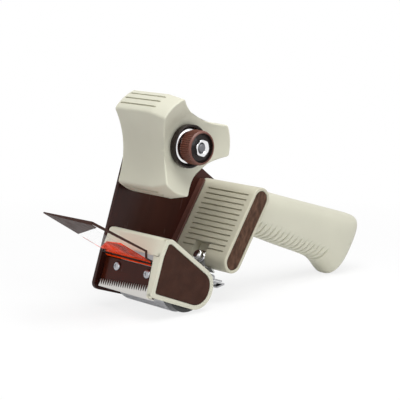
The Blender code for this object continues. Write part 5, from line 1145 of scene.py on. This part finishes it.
root = sheet(((FLAP_NEAR, 1.4, 0.2), (FLAP_NEAR, 9.0, 0.2), (FLAP_NEAR, 9.0, 1.2), (FLAP_NEAR, 1.4, 1.2)),
             ACROSS * 1.2, 3, 3)
whole = joined(tip, tip_rib, rail, leg, root)
put(whole, "flap_tip_moulding", "flap", flap_brown, ("flap_tip_plate",), 40)
bar = spun([(1.3, FLAP_NEAR), (1.95, FLAP_NEAR), (1.95, FLAP_FAR), (1.3, FLAP_FAR)], at_pin, 32)
ledge = sheet(lying(FLAP_NEAR, FLAP_FAR, 1.2, (6.0, 6.0), -1.6), FLAP_UP * 0.6)
put(joined(bar, ledge), "flap_hinge_moulding", "flap", cup_brown, ("flap_hinge_bar",), 40)

# %% [markdown]
# ## CAD pieces that stay
# Small pieces whose shape is right already, and those hidden inside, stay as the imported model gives
# them. Each takes the finish that goes with its material slot.
# %% Finishes for the pieces that stay
by_slot = {"beige": beige, "brown_gloss": brown, "brown_inlay": inlay, "brown_flap": flap_brown,
           "dark_brown": cup_brown, "knob_brown": knob_brown, "black": black, "nylon": nylon,
           "grey_rubber": rubber, "steel": zinc, "chrome": chrome, "clear_film": clear, "orange_film": orange}
slot_of = {part["node"]: part["material_slot"] for part in frame["record"]["subparts"]}
kept = [node for node in frame["nodes"] if node not in dressed]
for node in kept:
    mesh = frame["nodes"][node].data
    mesh.materials.clear()
    mesh.materials.append(by_slot[slot_of[node]])
print(len(kept), "CAD pieces stay:", ", ".join(sorted(kept)))

# %% [markdown]
# ## Floor and light
# The photograph has a plain white ground. The floor is pale, and to the camera, to reflections and
# through the film it and the world show as plain white; only the object's own shadow darkens it. Large
# soft lamps stand above and on the open side, at a level where a colour looks about as it is written.
# %% White to the eye
AMBIENT = 0.21


def seen(tree):
    """1 for rays that the camera sends straight, by a reflection or through film, else 0."""
    path = add(tree, "LightPath").outputs
    either = add(tree, "Math", {0: path["Is Camera Ray"], 1: path["Is Glossy Ray"]}, operation="MAXIMUM")
    return add(tree, "Math", {0: either.outputs["Value"], 1: path["Is Transmission Ray"]},
               operation="MAXIMUM").outputs["Value"]


world = bpy.data.worlds.new("studio")
world.use_nodes = True
scene.world = world
tree = world.node_tree
dim = tree.nodes["Background"]
dim.inputs["Color"].default_value = (0.96, 0.98, 1.0, 1)
dim.inputs["Strength"].default_value = AMBIENT
bright = add(tree, "Background", {"Color": (1, 1, 1, 1), "Strength": 1.0})
mixed = add(tree, "MixShader", {0: seen(tree), 1: dim.outputs[0], 2: bright.outputs[0]})
tree.links.new(mixed.outputs[0], tree.nodes["World Output"].inputs["Surface"])

# %% The floor
FLOOR_HALF = 4
FADE_FROM, FADE_TO = 0.80, 1.0
GLOW_NEAR, GLOW_FAR = 0.16, 0.45
floor = bmesh.new()
bmesh.ops.create_grid(floor, x_segments=1, y_segments=1, size=FLOOR_HALF)
ground = as_object(floor, "floor")
pale = bpy.data.materials.new("pale_floor")
pale.use_nodes = True
tree = pale.node_tree
matt = tree.nodes["Principled BSDF"]
matt.inputs["Base Color"].default_value = (0.93, 0.93, 0.93, 1)
matt.inputs["Roughness"].default_value = 0.9
glow = add(tree, "Emission", {"Color": (1, 1, 1, 1), "Strength": 1.0})
place = add(tree, "TexCoord").outputs["Object"]
away = add(tree, "VectorMath", {0: place}, operation="LENGTH").outputs["Value"]
fade = between(tree, away, FADE_FROM, FADE_TO, GLOW_NEAR, GLOW_FAR)
share = add(tree, "Math", {0: seen(tree), 1: fade}, operation="MULTIPLY").outputs["Value"]
mixed = add(tree, "MixShader", {0: share, 1: matt.outputs[0], 2: glow.outputs[0]})
tree.links.new(mixed.outputs[0], tree.nodes["Material Output"].inputs["Surface"])
ground.data.materials.append(pale)


# %% The lamps
def lamp(name, place, towards, size, power):
    """A square soft lamp that looks at a point."""
    data = bpy.data.lights.new(name, "AREA")
    data.size, data.energy = size, power
    obj = bpy.data.objects.new(name, data)
    obj.location = place
    obj.rotation_euler = (Vector(towards) - Vector(place)).to_track_quat("-Z", "Y").to_euler()
    scene.collection.objects.link(obj)


middle = (Vector(cad_box[0]) + Vector(cad_box[1])) / 2
for name, offset, size, power in (("lamp_above", (-0.15, -0.25, 1.0), 0.9, 12.3),
                                  ("lamp_front", (-1.0, -0.45, 0.45), 0.7, 1.5),
                                  ("lamp_side", (0.35, -1.1, 0.35), 0.8, 2.3)):
    lamp(name, middle + Vector(offset), middle, size, power)
scene.view_settings.view_transform = "Standard"
print("floor and lamps are in place")
